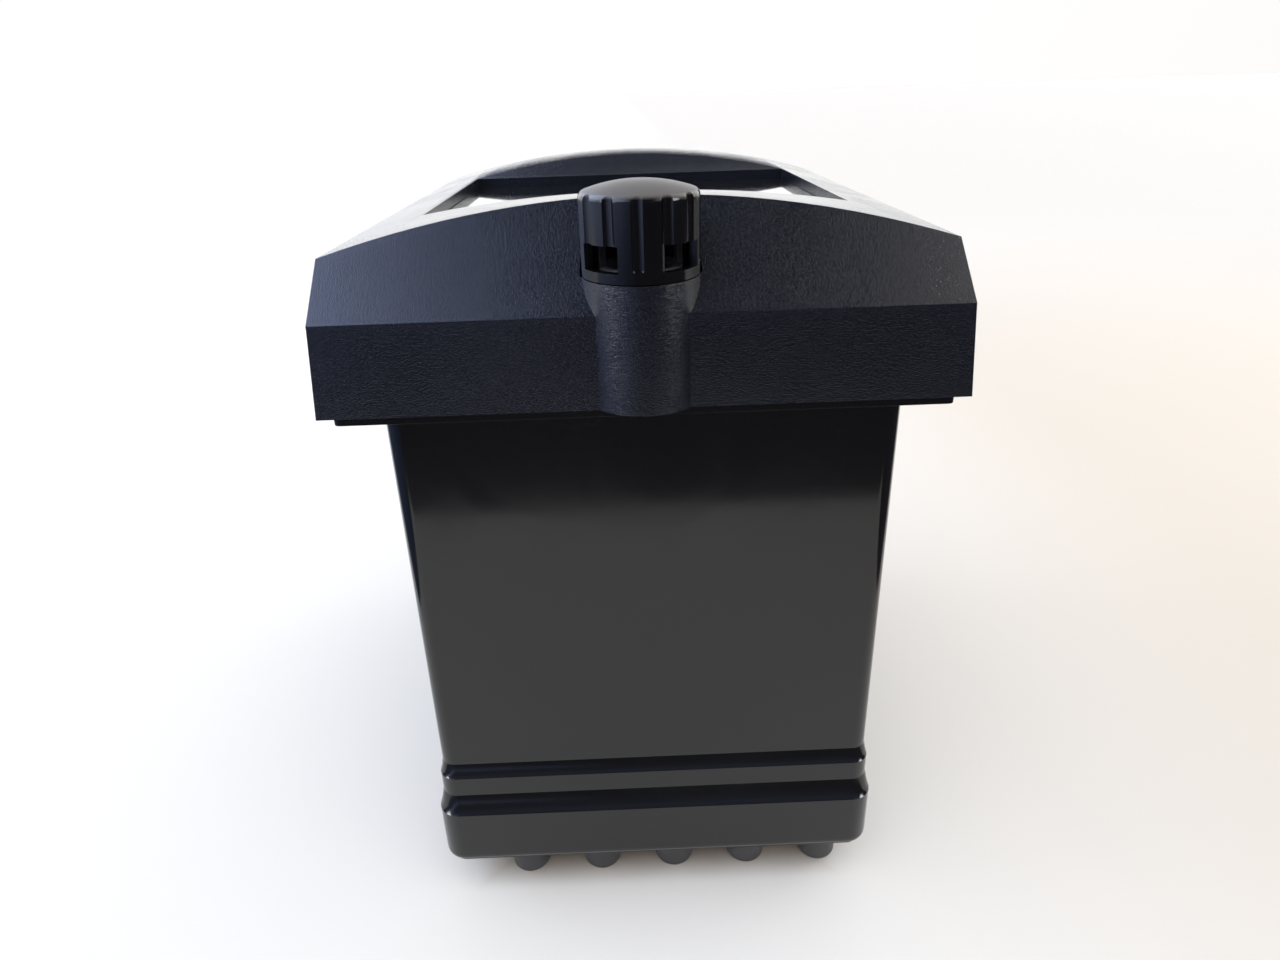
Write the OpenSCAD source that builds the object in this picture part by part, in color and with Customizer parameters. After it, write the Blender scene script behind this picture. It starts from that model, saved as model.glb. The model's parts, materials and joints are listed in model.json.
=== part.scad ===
// Canister filter for an aquarium or a pond: tub, media baskets, and a head with pump, taps and vent knob.
// Millimetres, +Z up, the narrow front with the tower looks along -Y.
// The origin is on the floor, in the middle of the whole filter with its hose tails.

/* [Hood] */
// Width of the hood at the fold above its skirt
hood_w = 258; // [240:1:280]
// Depth of the hood at the skirt's lower edge
hood_d = 355.6; // [336:0.2:376]
// Height of the skirt, from its lower edge to the fold
skirt_h = 37.4; // [34:0.2:42]
// How far the skirt's long sides stand out past the fold at their lower edge
skirt_flare = 3.8; // [1:0.1:5]
// How far the skirt's rear stands out past the fold at its lower edge
rear_flare = 2.8; // [1:0.1:4]
// How far the front fold lies above the folds of the sides
front_fold_rise = 1; // [0:0.1:3]
// Height of the side walls above the fold
side_rise = 22.4; // [18:0.2:28]
// How far each side wall leans in above the fold
side_lean = 1.1; // [0.5:0.1:5]
// Height of the arched top above the side walls
crown_rise = 17.9; // [12:0.1:24]
// Lean of the rear slope, from upright; the front slope starts at its own fold and ends as far up
end_lean = 42.1; // [35:0.1:46]
// Wall of the hood
hood_wall = 3; // [2:0.1:3.6]

/* [Recess in the top] */
// Width of the recess
recess_w = 193.4; // [160:0.2:200]
// Depth of the recess
recess_d = 160.3; // [130:0.1:180]
// How far the recess lies in front of the hood's middle
recess_shift = 19.6; // [0:0.1:25]
// Height of the recess floor above the skirt's lower edge
recess_floor = 62; // [58:0.1:63]
// Lean of the recess's front and rear faces above its corners, from upright
recess_flare = 67; // [40:0.5:70]
// Thickness of the recess panel
panel_t = 2.5; // [1.5:0.1:4]
// Width of the ledge that carries the panel
ledge_w = 6; // [4:0.5:10]
// Thickness of the ledge and clearance under it
ledge_t = 2.5; // [1.5:0.1:3]

/* [Tower and vent knob] */
// Outer radius of the tower
tower_r = 23.2; // [20:0.1:26]
// How far the tower's axis lies behind the skirt's front
tower_inset = 14.4; // [12:0.1:17]
// Height of the tower's rim above the skirt's lower edge
tower_rim = 51; // [47:0.1:54]
// Wall of the tower
tower_wall = 3; // [2:0.1:4]
// Gap between the tower's rim and the knob
knob_gap = 0.5; // [0.3:0.1:1]
// Gap around the knob, in the hood's pocket behind it
pocket_gap = 0.8; // [0.5:0.1:1.5]
// Height of the knob up to the rounding below its dome
knob_h = 28.5; // [26:0.1:32]
// Radius of the rounding below the dome
dome_round = 3; // [2:0.1:4]
// Height of the knob's dome above the start of the rounding
dome_h = 6.3; // [5:0.1:8]
// Wall of the knob
knob_wall = 3.4; // [2.5:0.1:3.8]
// Height of the closed ring below the knob's windows
knob_ring = 3.8; // [2:0.1:5]
// Height of the windows
window_h = 9.7; // [6:0.1:12]
// Number of windows around the knob
window_count = 4; // [2:1:6]
// Part of the circle that the windows open, in percent
window_share = 50; // [30:1:60]
// Number of flutes around the knob
flute_count = 13; // [8:1:20]
// Depth of the flutes
flute_depth = 1.3; // [0.5:0.1:1.6]
// Radius of the flutes
flute_r = 3; // [2:0.1:4]
// How far the front flute is turned from the middle, in degrees
flute_turn = -3.2; // [-14:0.1:14]
// Radius of the vent core inside the knob
core_r = 17; // [14:0.1:18]
// Wall of the vent core
core_wall = 2.5; // [1.5:0.1:4]
// Radius of the pin on which the knob turns
knob_pin_r = 4; // [3:0.1:6]
// Outer radius of the vent pipe
vent_pipe_r = 5; // [4:0.1:6]
// Wall of the vent pipe
vent_pipe_wall = 1.8; // [1:0.1:2.5]

/* [Tub] */
// How far the hood overhangs the tub on its long sides
overhang = 18.7; // [17:0.1:22]
// How far the hood overhangs the tub at its narrow ends
end_overhang = 22.5; // [20:0.1:26]
// Wall of the tub
tub_wall = 3; // [2:0.1:3.6]
// Radius of the tub's upright corners
tub_r = 8; // [6:0.5:14]
// Draft of the tub's walls
tub_draft = 0.43; // [0:0.01:0.6]
// Thickness of the tub's floor
tub_floor = 4; // [3:0.1:6]
// Height of the ribs that carry the lowest basket
rib_h = 10; // [8:0.5:16]
// Thickness of the ribs
rib_t = 3; // [2:0.1:5]
// Room above the baskets for the pump
pump_room = 37.3; // [35:0.1:45]
// How far the tub's rim stands above the skirt's lower edge
rim_overlap = 7.7; // [6.5:0.1:9]
// How far the flange stands out below the rim
flange_w = 5.2; // [4:0.1:6.5]
// Thickness of the flange
flange_t = 4; // [3:0.1:4.5]
// Height of the upper shoulder's top above the tub's underside
upper_band_h = 64.1; // [56:0.1:72]
// How far the upper shoulder stands out on the long sides
upper_band_step = 1.5; // [0.5:0.05:2.5]
// How far the upper shoulder stands out at the narrow ends
upper_end_step = 3.3; // [1:0.1:4.5]
// Height of the upper shoulder's slope
upper_slope_h = 7.5; // [4:0.1:10]
// Height of the lower shoulder's top above the tub's underside
lower_band_h = 44.9; // [38:0.1:52]
// How far the lower shoulder stands out on the long sides, past the upper one
lower_band_step = 2.3; // [0.5:0.05:3]
// How far the lower shoulder stands out at the narrow ends, past the upper one
lower_end_step = 4.9; // [2:0.1:6]
// Height of the lower shoulder's slope
lower_slope_h = 10.4; // [6:0.1:14]
// Part of a shoulder's height that has the gentler slope, in percent
gentle_h_share = 70; // [50:1:80]
// Part of a shoulder's step that lies in the gentler slope, in percent
gentle_out_share = 56; // [40:1:65]
// Rounding of the tub's lower edge
foot_round = 4.3; // [3:0.1:8]

/* [Base] */
// Thickness of the base plate
plate_t = 3; // [2:0.1:5]
// How far the base plate stands back from the lower band
plate_inset = 3.6; // [2:0.1:6]
// Height of the feet below the base plate
foot_h = 24.2; // [20:0.1:27]
// Radius of the feet
foot_r = 11; // [8:0.1:14]
// Radius of the rim at the bottom of each foot
foot_edge = 2.5; // [1:0.1:4]
// Radius of the plug that holds each foot
plug_r = 5; // [3:0.1:6]
// Feet in a row across the filter
foot_count = 5; // [3:1:5]
// Rows of feet
foot_rows = 3; // [2:1:4]
// Distance between the feet of a row
foot_pitch = 42.8; // [36:0.1:46]
// How far the rows of feet stand off the middle
foot_shift = 10.5; // [0:0.1:16]
// How far the feet stand back from the plate's front edge
foot_setback = 8.4; // [5:0.1:20]

/* [Baskets and media] */
// Height of one basket
basket_h = 76.1; // [60:0.1:90]
// Wall of the baskets
basket_wall = 2.2; // [1.5:0.1:3]
// Clearance between baskets and tub
basket_gap = 2.5; // [1.5:0.1:4]
// Height that two stacked baskets stand apart
stack_gap = 0.3; // [0.1:0.1:1]
// Width of the slots in a basket's floor
slot_w = 7; // [4:0.5:10]
// Distance between the slots
slot_pitch = 14; // [12:0.5:20]
// Depth of the prefilter column at the rear
column_d = 45; // [35:1:55]
// Thickness of the divider wall
divider_t = 3; // [2:0.1:5]
// Outer radius of a biological ring
ring_r = 12; // [8:0.5:14]
// Bore radius of a biological ring
ring_bore = 7; // [4:0.5:7]
// Length of a biological ring
ring_h = 32; // [20:1:34]
// Distance between the rings
ring_pitch = 26; // [25:0.5:34]
// Height of the coarse sponge
coarse_h = 68; // [30:1:70]
// Height of the fine pad
fine_h = 60; // [30:1:70]

/* [Lid pan and seal] */
// How far the pan's lip stands inside the skirt's lower edge
lip_inset = 4.5; // [4.2:0.1:6]
// How far the lip reaches below the skirt
lip_drop = 4.6; // [1:0.1:6]
// Wall of the lid pan
pan_wall = 2.5; // [2:0.1:3.5]
// Thickness of the lid pan's deck
deck_t = 3; // [2:0.1:5]
// Thickness of the lid seal when it is pressed
seal_t = 3.3; // [2.5:0.1:4]
// Width of the lid seal
seal_w = 4; // [3.4:0.1:4.2]
// Clearance between the pan's spigot and the tub
spigot_gap = 0.8; // [0.4:0.1:1.5]
// Height of the spigot below the deck
spigot_h = 8; // [5:0.5:12]

/* [Lock bars] */
// Length of a lock bar
bar_len = 190; // [180:1:230]
// Thickness of a lock bar
bar_t = 3; // [2:0.1:3.2]
// Distance of the hooks from the bar's middle
hook_y = 80; // [70:1:100]
// Length of a hook along the bar
hook_len = 18; // [12:1:20]
// Height of a hook
hook_t = 2.3; // [1.5:0.1:3]

/* [Pump] */
// How far the pump's axis lies in front of the hood's middle
pump_shift = 10; // [0:1:30]
// Radius of the pump's magnet
magnet_r = 14; // [12:0.1:16]
// Height of the pump's magnet
magnet_h = 26; // [20:1:26]
// Gap around the magnet in its well
magnet_gap = 1.2; // [0.6:0.1:2]
// Wall of the well around the magnet
well_wall = 1.8; // [1:0.1:2.5]
// Radius of the ceramic shaft
shaft_r = 2; // [1.5:0.1:3]
// Running clearance of the magnet on its shaft
shaft_fit = 0.05; // [0.02:0.01:0.1]
// Radius of the impeller
impeller_r = 28; // [22:0.5:32]
// Number of impeller vanes
vane_count = 6; // [4:1:8]
// Height of the impeller vanes
vane_h = 9; // [6:0.5:9]
// Inner radius of the pump chamber
volute_r = 38; // [36:0.5:40]
// Wall of the pump cover
volute_wall = 4; // [3:0.1:6]
// Height of the pump cover
volute_h = 19.5; // [18:0.5:21]
// Thickness of the pump gasket
gasket_t = 1.5; // [1:0.1:2]
// Radius of the pump's inlet eye
eye_r = 15; // [13:0.5:18]
// Outer radius of the motor housing
motor_r = 41; // [40:0.5:42]
// Wall of the motor housing
motor_wall = 2.5; // [1.5:0.1:3.5]
// Height of the stator core
stator_h = 20; // [14:0.5:24]
// Width of a stator pole
pole_w = 16; // [10:0.5:20]

/* [Ducts, taps and gland] */
// Distance of each tap's axis from the middle
tap_x = 60; // [58:1:70]
// Height of the tap's axis above the skirt's lower edge
tap_z = 26; // [25.5:0.1:26.5]
// Outer radius of the ducts
duct_r = 10; // [9:0.1:10]
// Wall of the ducts
duct_wall = 2.5; // [1.5:0.1:3]
// Radius of the tap's barrel
barrel_r = 14; // [13.5:0.1:15]
// Length of the tap's barrel
barrel_len = 24; // [22.5:0.5:28]
// Radius of the ball in the tap
ball_r = 10; // [9:0.1:10.5]
// Bore radius through the ball and tap
tap_bore = 6.5; // [5:0.1:6.8]
// Radius of the ball's stem
stem_r = 3.25; // [2.5:0.05:4]
// Radial clearance of pieces that fit into a bore
close_fit = 0.08; // [0.05:0.01:0.1]
// Length of the lever
lever_len = 34; // [26:1:40]
// Width of the lever
lever_w = 9; // [8:0.5:12]
// Thickness of the lever
lever_t = 5; // [4:0.5:7]
// Outer radius of the hose tail
tail_r = 8; // [7.5:0.1:9]
// Length of the hose tail past the barrel
tail_len = 42; // [36:0.5:50]
// Outer radius of the hose nut
nut_r = 15; // [14:0.1:16]
// Length of the hose nut
nut_len = 19; // [15:0.5:24]
// Radius of the cable gland's bore
gland_bore = 3.6; // [2.5:0.1:4.5]
// Outer radius of the cable gland's flange
gland_r = 9; // [8:0.1:9.5]

/* [Screws] */
// Radius of the screw shanks
screw_r = 1.5; // [1.2:0.1:2]
// Radius of the screw heads
screw_head_r = 3.4; // [2.8:0.1:3.8]
// Height of the screw heads
screw_head_h = 2.4; // [1.8:0.1:3]
// Wall around a screw's hole
boss_wall = 3; // [2:0.1:3.2]

/* [Hidden] */
$fn = 64;
black = [0.05, 0.05, 0.06];
dark_grey = [0.16, 0.17, 0.18];
rubber_grey = [0.10, 0.10, 0.10];
steel = [0.72, 0.73, 0.75];
white = [0.93, 0.93, 0.90];
foam_blue = [0.20, 0.36, 0.55];
copper = [0.78, 0.45, 0.25];

// Small clearances and overlaps
slack = 0.3;
press_gap = 0.02;
hull_fn = 32;
thin = 0.01;
cut = 1;
screw_slot_w = 0.8;
screw_slot_h = 1.2;

// Heights, from the floor up
plate_z = foot_h;
tub_z = plate_z + plate_t;
floor_z = tub_z + tub_floor;
stack_z = floor_z + rib_h;
stack_step = basket_h + stack_gap;
basket_count = 3;
stack_top = stack_z + basket_count * stack_step - stack_gap;
tub_top = stack_top + stack_gap + pump_room;
hood_z = tub_top - rim_overlap;
flange_z = hood_z;
deck_z = tub_top + seal_t;
deck_top = deck_z + deck_t;
fold_z = hood_z + skirt_h;
side_top = fold_z + side_rise;
crown_z = side_top + crown_rise;

// Hood outlines
skirt_x = hood_w / 2 + skirt_flare;
skirt_y = hood_d / 2;
rear_fold_y = skirt_y - rear_flare;
side_x = hood_w / 2 - side_lean;
crown_r = (side_x * side_x + crown_rise * crown_rise) / (2 * crown_rise);
flare_slope = rear_flare / skirt_h;
side_tilt = side_lean / side_rise;
end_slope = tan(end_lean);
front_fold_z = fold_z + front_fold_rise;
front_slope = (rear_flare + end_slope * (crown_z - fold_z)) / (crown_z - front_fold_z);
front_lean = atan(front_slope);
crown_drop = 1.2;
well_x = recess_w / 2;
well_y = recess_d / 2;
flare_z = crown_z - crown_r + sqrt(crown_r * crown_r - well_x * well_x);
flare_rise = crown_z + 2 * cut - flare_z;
flare_run = flare_rise * tan(recess_flare);
panel_z = hood_z + recess_floor - panel_t;
ledge_z = panel_z - ledge_t;

// Tub outlines
tub_w = 2 * (skirt_x - overhang);
tub_d = 2 * (skirt_y - end_overhang);
inner_w = tub_w - 2 * tub_wall;
inner_d = tub_d - 2 * tub_wall;
flange_x = tub_w / 2 + flange_w;
upper_out = [upper_band_step, upper_end_step];
foot_out = upper_out + [lower_band_step, lower_end_step];
plate_w = tub_w + 2 * (draft_out(tub_z) + foot_out[0] - plate_inset);
plate_d = tub_d + 2 * (draft_out(tub_z) + foot_out[1] - plate_inset);
foot_row_gap = (plate_d - 2 * foot_setback - 2 * foot_r) / (foot_rows - 1);
boss_r = screw_r + boss_wall;
hole_r = screw_r + 0.2;

// Baskets, divider and column
rail_t = 2.5;
rail_w = 3.5;
divider_y = inner_d / 2 - column_d;
basket_w = inner_w - 2 * basket_gap;
basket_front = -inner_d / 2 + basket_gap;
basket_rear = divider_y - divider_t - rail_t - slack - basket_gap;
basket_d = basket_rear - basket_front;
basket_y = (basket_rear + basket_front) / 2;
basket_r = 10;
basket_rim = 1.5;
basket_rim_h = 5;
basket_in = basket_rim + basket_wall;
finger_w = 50;
finger_h = 12;
finger_drop = 10;
mid_bar_w = 4;
divider_top = deck_z - spigot_h - slack;
divider_w = inner_w - 2 * slack;
port_pitch = divider_w / 6;
port_w = divider_w / 8;

// Lid pan and lock bars
lip_x = skirt_x - lip_inset;
lip_y = skirt_y - lip_inset;
lip_r = 3;
bar_gap = 0.3;
bar_x = flange_x + 2 * bar_gap;
hook_z = hood_z - hook_t - bar_gap;
bar_h = 9.6;
bar_top = hook_z + bar_h;
bar_tab_l = 24;
bar_tab_h = 5;
bar_head_w = bar_t + 2;
bar_head_h = 2.5;
guide_y = 40;
guide_len = 10;
guide_h = 8.5;
hook_reach = flange_w - 1.7;
notch_depth = flange_w - 1.2;
notch_len = hook_len + 4;
screw_in = pan_wall + boss_r + 2;
screw_x = lip_x - screw_in;
screw_y = lip_y - screw_in;
hood_screw_l = 12;

// Tower and knob
tower_y = -skirt_y + tower_inset;
rim_z = hood_z + tower_rim;
tower_floor = deck_top + hood_wall;
tower_bore = tower_r - tower_wall;
shelf_t = 3;
core_flange_t = 4;
shelf_z = rim_z - core_flange_t - shelf_t - 2;
knob_z = rim_z + knob_gap;
core_clear = 2;
core_cap_t = 3;
core_top = knob_z + knob_h - core_clear;
pin_h = 6;
tower_neck = tower_bore - 5;
knob_bore = tower_r - knob_wall;
window_z = knob_z + knob_ring;
groove_z = window_z + window_h + 3;
groove_h = 3;
window_angle = 360 * window_share / 100 / window_count;
window_start = -90 + 180 / window_count;
vent_z = tower_floor + vent_pipe_r + 2;
vent_back = 12;
vent_y = tower_y + tower_r + vent_back;
flute_lift = 0.8;
dome_r = tower_r - dome_round;
dome_ball = (dome_r * dome_r + dome_h * dome_h - dome_round * dome_round) / (2 * (dome_h - dome_round));
dome_end = acos((dome_ball - dome_h) / (dome_ball - dome_round));

// Pump
pump_y = -pump_shift;
well_r = magnet_r + magnet_gap;
magnet_lift = 2;
magnet_z = deck_top + magnet_lift;
magnet_top = magnet_z + magnet_h;
bush_r = 6;
bush_h = 4;
end_play = 1.5;
bush_z = magnet_top + end_play;
well_top = bush_z + bush_h + 0.5;
cover_z = deck_z - gasket_t - volute_h;
cover_floor = 3;
eye_hub_r = 7.5;
lower_bush_r = 5;
lower_bush_h = 6;
vane_gap = 3;
vane_z = cover_z + cover_floor + vane_gap;
hub_r = 7;
eye_drop = 4;
shaft_z = cover_z - eye_drop + 1;
lug_out = 4.8;
lug_r = volute_r + volute_wall + lug_out;
lug_outer = screw_head_r + 1;
lug_t = 4;
lug_z = deck_z - gasket_t - lug_t;
outlet_w = 16;
gasket_in = 0.5;
pump_angles = [60, 120, 210, 300];
well_cap = 2;
motor_h = well_top + well_cap + 1 + motor_wall - deck_top;
motor_lug_out = 6;
motor_lug_r = motor_r + motor_lug_out;
stator_z = magnet_z + (magnet_h - stator_h) / 2;
stator_r = motor_r - motor_wall - 1.5;
stator_yoke = 5;
motor_boss_h = 4;
pump_boss_h = 6;
disc_t = 2;
pole_in = well_r + well_wall + slack;

// Ducts and taps
duct_z = hood_z + tap_z;
skirt_rear = rear_fold_y + flare_slope * (fold_z - duct_z);
tap_y = skirt_rear + 2.6;
tap_flange_t = 3.4;
tap_flange_r = barrel_r + 2;
spigot_l = 12;
barrel_y = tap_y + tap_flange_t;
ball_y = barrel_y + barrel_len / 2;
tail_y = barrel_y + barrel_len;
thread_len = 6;
thread_r = barrel_r - 3;
duct_bore = duct_r - duct_wall;
inlet_drop_y = divider_y + column_d / 2;
gland_y = skirt_rear + 2 * slack;
gland_nut_t = 4;
gland_flange_t = 2.5;
gland_hex_l = 8;
gland_tube_r = gland_bore + 2.4;

// Place of the hood's middle, so that the origin is in the middle of the whole filter
front_reach = -tower_y + tower_r;
rear_reach = tail_y + tail_len;
shell_y = (front_reach - rear_reach) / 2;

// How far the tub's wall at height z stands out past its rim
function draft_out(z) = (tub_top - z) * tan(tub_draft);

// Puts a piece drawn about the hood's middle into the filter's own frame
module placed() {
    translate([0, shell_y, 0]) children();
}

module rounded_rect(w, d, r) {
    square([w - 2 * r, d], center = true);
    square([w, d - 2 * r], center = true);
    for (sx = [-1, 1], sy = [-1, 1]) {
        translate([sx * (w / 2 - r), sy * (d / 2 - r)]) circle(r);
    }
}

module rounded_block(w, d, r, z, h) {
    translate([0, 0, z]) linear_extrude(h) rounded_rect(w, d, r);
}

// Thin slab of the tub's outline at height z, grown by out[0] on its long sides and by out[1] at its ends
module tub_slab(z, out) {
    grow = out + [draft_out(z), draft_out(z)];
    rounded_block(tub_w + 2 * grow[0], tub_d + 2 * grow[1], tub_r + out[0], z, thin);
}

// Block from x1 to x2, from y1 to y2 and from z up by h
module block(x1, x2, y1, y2, z, h) {
    translate([x1, y1, z]) cube([x2 - x1, y2 - y1, h]);
}

module rod(x, y, z, r, h) {
    translate([x, y, z]) cylinder(h = h, r = r);
}

// Rod along Y from y1 to y2
module y_rod(x, z, r, y1, y2) {
    translate([x, y1, z]) rotate([-90, 0, 0]) cylinder(h = y2 - y1, r = r);
}

module ring(r_out, r_in, h) {
    difference() {
        cylinder(h = h, r = r_out);
        translate([0, 0, -cut]) cylinder(h = h + 2 * cut, r = r_in);
    }
}

// Screw with a cross recess; its head is below z = 0 and its shank above
module screw(len) {
    difference() {
        union() {
            translate([0, 0, -screw_head_h]) cylinder(h = screw_head_h, r = screw_head_r);
            cylinder(h = len, r = screw_r);
        }
        for (a = [0, 90]) rotate(a) {
            block(-screw_r, screw_r, -screw_slot_w / 2, screw_slot_w / 2, -screw_head_h - cut,
                cut + screw_slot_h);
        }
    }
}

// ---- Tub, base and feet ----

// Shoulder that steps out by step below the outline grown by out: a gentle slope, then a steeper one
module tub_shoulder(top_h, slope_h, out, step) {
    top_z = tub_z + top_h;
    bend_z = top_z - slope_h * gentle_h_share / 100;
    bend_out = out + step * gentle_out_share / 100;
    hull() {
        $fn = hull_fn;
        tub_slab(top_z, out);
        tub_slab(bend_z, bend_out);
    }
    hull() {
        $fn = hull_fn;
        tub_slab(bend_z, bend_out);
        tub_slab(top_z - slope_h, out + step);
        children();
    }
}

module tub_outside() {
    hull() {
        $fn = hull_fn;
        tub_slab(tub_top - thin, [0, 0]);
        tub_slab(floor_z, [0, 0]);
    }
    tub_shoulder(upper_band_h, upper_slope_h, [0, 0], upper_out) {
        $fn = hull_fn;
        tub_slab(tub_z + foot_round, upper_out);
    }
    tub_shoulder(lower_band_h, lower_slope_h, upper_out, foot_out - upper_out) {
        $fn = hull_fn;
        for (t = [0 : 0.25 : 1]) {
            back = (plate_inset - 1) * (1 - cos(90 * t));
            tub_slab(tub_z + foot_round * (1 - sin(90 * t)), foot_out - [back, back]);
        }
    }
    rounded_block(2 * flange_x, tub_d + 2 * flange_w, tub_r + flange_w, flange_z, flange_t);
}

module tub_cavity() {
    hull() {
        $fn = hull_fn;
        tub_slab(tub_top + cut, [-tub_wall, -tub_wall]);
        tub_slab(floor_z, [-tub_wall, -tub_wall]);
    }
}

function base_screw_spots() = [for (sx = [-1, 0, 1], sy = [-1, 1])
    [foot_shift + (sx - 0.5) * foot_pitch, sy * foot_row_gap / 2]];

function foot_spots() = [for (i = [0 : foot_count - 1], j = [0 : foot_rows - 1])
    [foot_shift + (i - (foot_count - 1) / 2) * foot_pitch, (j - (foot_rows - 1) / 2) * foot_row_gap]];

module canister_tub() {
    color(black) placed() difference() {
        union() {
            difference() {
                tub_outside();
                tub_cavity();
            }
            // Ribs that carry the baskets
            for (sx = [-1, 1], part = [0.3, 0.85]) {
                x = sx * part * basket_w / 2;
                block(x - rib_t / 2, x + rib_t / 2, basket_front, basket_rear, floor_z - cut, rib_h + cut);
            }
            // Rails that hold the divider wall
            for (sx = [-1, 1], y = [divider_y - divider_t - rail_t - slack, divider_y + slack]) {
                x = sx * (inner_w / 2 - rail_w / 2 + cut);
                block(x - rail_w / 2 - cut, x + rail_w / 2 + cut, y, y + rail_t, floor_z - cut,
                    divider_top - floor_z);
            }
            // Bosses for the base screws
            for (p = base_screw_spots()) rod(p[0], p[1], floor_z - cut, boss_r, rib_h / 2 + cut);
        }
        // Notches that let the lock bars' hooks pass
        for (sx = [-1, 1], sy = [-1, 1]) {
            x = sx * flange_x;
            block(x - notch_depth, x + notch_depth, sy * hook_y - notch_len / 2, sy * hook_y + notch_len / 2,
                flange_z - cut, flange_t + 2 * cut);
        }
        for (p = base_screw_spots()) rod(p[0], p[1], tub_z - cut, screw_r, tub_floor + rib_h / 2 - 1);
    }
}

module base_plate() {
    color(black) placed() difference() {
        rounded_block(plate_w, plate_d, tub_r, plate_z, plate_t);
        for (p = foot_spots()) rod(p[0], p[1], plate_z - cut, plug_r, plate_t + 2 * cut);
        for (p = base_screw_spots()) rod(p[0], p[1], plate_z - cut, hole_r, plate_t + 2 * cut);
    }
}

module rubber_foot() {
    rotate_extrude() union() {
        square([foot_r - foot_edge, foot_h]);
        translate([0, foot_edge]) square([foot_r, foot_h - foot_edge]);
        translate([foot_r - foot_edge, foot_edge]) intersection() {
            circle(foot_edge);
            translate([0, -foot_edge]) square(2 * foot_edge);
        }
        square([plug_r - close_fit, foot_h + plate_t]);
    }
}

module rubber_feet() {
    color(rubber_grey) placed() for (p = foot_spots()) translate([p[0], p[1], 0]) rubber_foot();
}

module base_screws() {
    color(steel) placed() for (p = base_screw_spots()) {
        translate([p[0], p[1], plate_z]) screw(plate_t + tub_floor + rib_h / 2 - 2);
    }
}

// ---- Baskets and media ----

module basket(level) {
    z = stack_z + level * stack_step;
    rows = floor((basket_d - 2 * basket_r) / slot_pitch);
    translate([0, basket_y, 0]) difference() {
        union() {
            rounded_block(basket_w - 2 * basket_rim, basket_d - 2 * basket_rim, basket_r, z, basket_h);
            rounded_block(basket_w, basket_d, basket_r + basket_rim, z + basket_h - basket_rim_h,
                basket_rim_h);
        }
        rounded_block(basket_w - 2 * basket_in, basket_d - 2 * basket_in, basket_r - basket_wall,
            z + basket_wall, basket_h);
        for (i = [0 : rows - 1], sx = [-1, 1]) {
            x = sx * (basket_w - mid_bar_w) / 4;
            y = (i - (rows - 1) / 2) * slot_pitch;
            block(x - basket_w / 4 + basket_r, x + basket_w / 4 - basket_r, y - slot_w / 2, y + slot_w / 2,
                z - cut, basket_wall + 2 * cut);
        }
        // Finger cut-outs in the two long walls
        block(-basket_w, basket_w, -finger_w / 2, finger_w / 2, z + basket_h - finger_h - finger_drop,
            finger_h);
    }
}

module lower_basket() {
    color(dark_grey) placed() basket(0);
}

module middle_basket() {
    color(dark_grey) placed() basket(1);
}

module upper_basket() {
    color(dark_grey) placed() basket(2);
}

module bio_rings() {
    nx = floor((basket_w - 2 * basket_r) / ring_pitch);
    ny = floor((basket_d - 2 * basket_r) / ring_pitch);
    color(white) placed() for (i = [0 : nx - 1], j = [0 : ny - 1], k = [0, 1]) {
        translate([(i - (nx - 1) / 2) * ring_pitch, basket_y + (j - (ny - 1) / 2) * ring_pitch,
            stack_z + basket_wall + slack + k * (ring_h + slack)]) ring(ring_r, ring_bore, ring_h);
    }
}

module media_pad(level, h) {
    z = stack_z + level * stack_step + basket_wall + slack;
    w = basket_w - 2 * basket_in - 2 * slack;
    d = basket_d - 2 * basket_in - 2 * slack;
    translate([0, basket_y, 0]) rounded_block(w, d, basket_r - basket_wall - slack, z, h);
}

module coarse_sponge() {
    color(foam_blue) placed() media_pad(1, coarse_h);
}

module fine_pad() {
    color(white) placed() media_pad(2, fine_h);
}

module divider_wall() {
    color(dark_grey) placed() difference() {
        block(-divider_w / 2, divider_w / 2, divider_y - divider_t, divider_y, floor_z,
            divider_top - floor_z);
        // Ports at the foot, where the water passes under the baskets
        for (i = [-2 : 2]) {
            x = i * port_pitch;
            block(x - port_w / 2, x + port_w / 2, divider_y - divider_t - cut, divider_y + cut,
                floor_z - cut, rib_h);
        }
    }
}

module prefilter_foam() {
    y1 = divider_y + slack + rail_t + slack;
    color(foam_blue) placed() block(-inner_w / 2 + 4, inner_w / 2 - 4, y1, inner_d / 2 - 4, stack_z,
        stack_top - stack_z);
}

// ---- Hood ----

// Outline across the hood, moved in by t
module cross_outline(t) {
    drop_x = skirt_x - t;
    fold_x = hood_w / 2 - t;
    top_x = side_x - t * (1 + side_tilt / 2);
    side_z = side_top - crown_drop * t;
    low = hood_z - (t > 0 ? cut : 0);
    polygon([[-drop_x, low], [drop_x, low], [fold_x, fold_z], [top_x, side_z], [-top_x, side_z],
        [-fold_x, fold_z]]);
    intersection() {
        translate([0, crown_z - crown_r]) circle(crown_r - t, $fn = 256);
        translate([-top_x, side_z - thin]) square([2 * top_x, 2 * crown_rise]);
    }
}

// Outline along the hood, moved in by t
module long_outline(t) {
    drop_y = skirt_y - t;
    fold_y = rear_fold_y - t;
    top = crown_z + cut;
    lean_y = rear_fold_y - end_slope * (top - fold_z) - t / cos(end_lean);
    bend = t * (1 / cos(end_lean) - 1) / end_slope;
    front_y = skirt_y - front_slope * (top - front_fold_z) - t / cos(front_lean);
    front_bend = t * (1 / cos(front_lean) - 1) / front_slope;
    polygon([[-drop_y, hood_z - 2 * cut], [drop_y, hood_z - 2 * cut], [fold_y, fold_z - bend], [lean_y, top],
        [-front_y, top], [-drop_y, front_fold_z - front_bend]]);
}

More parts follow.
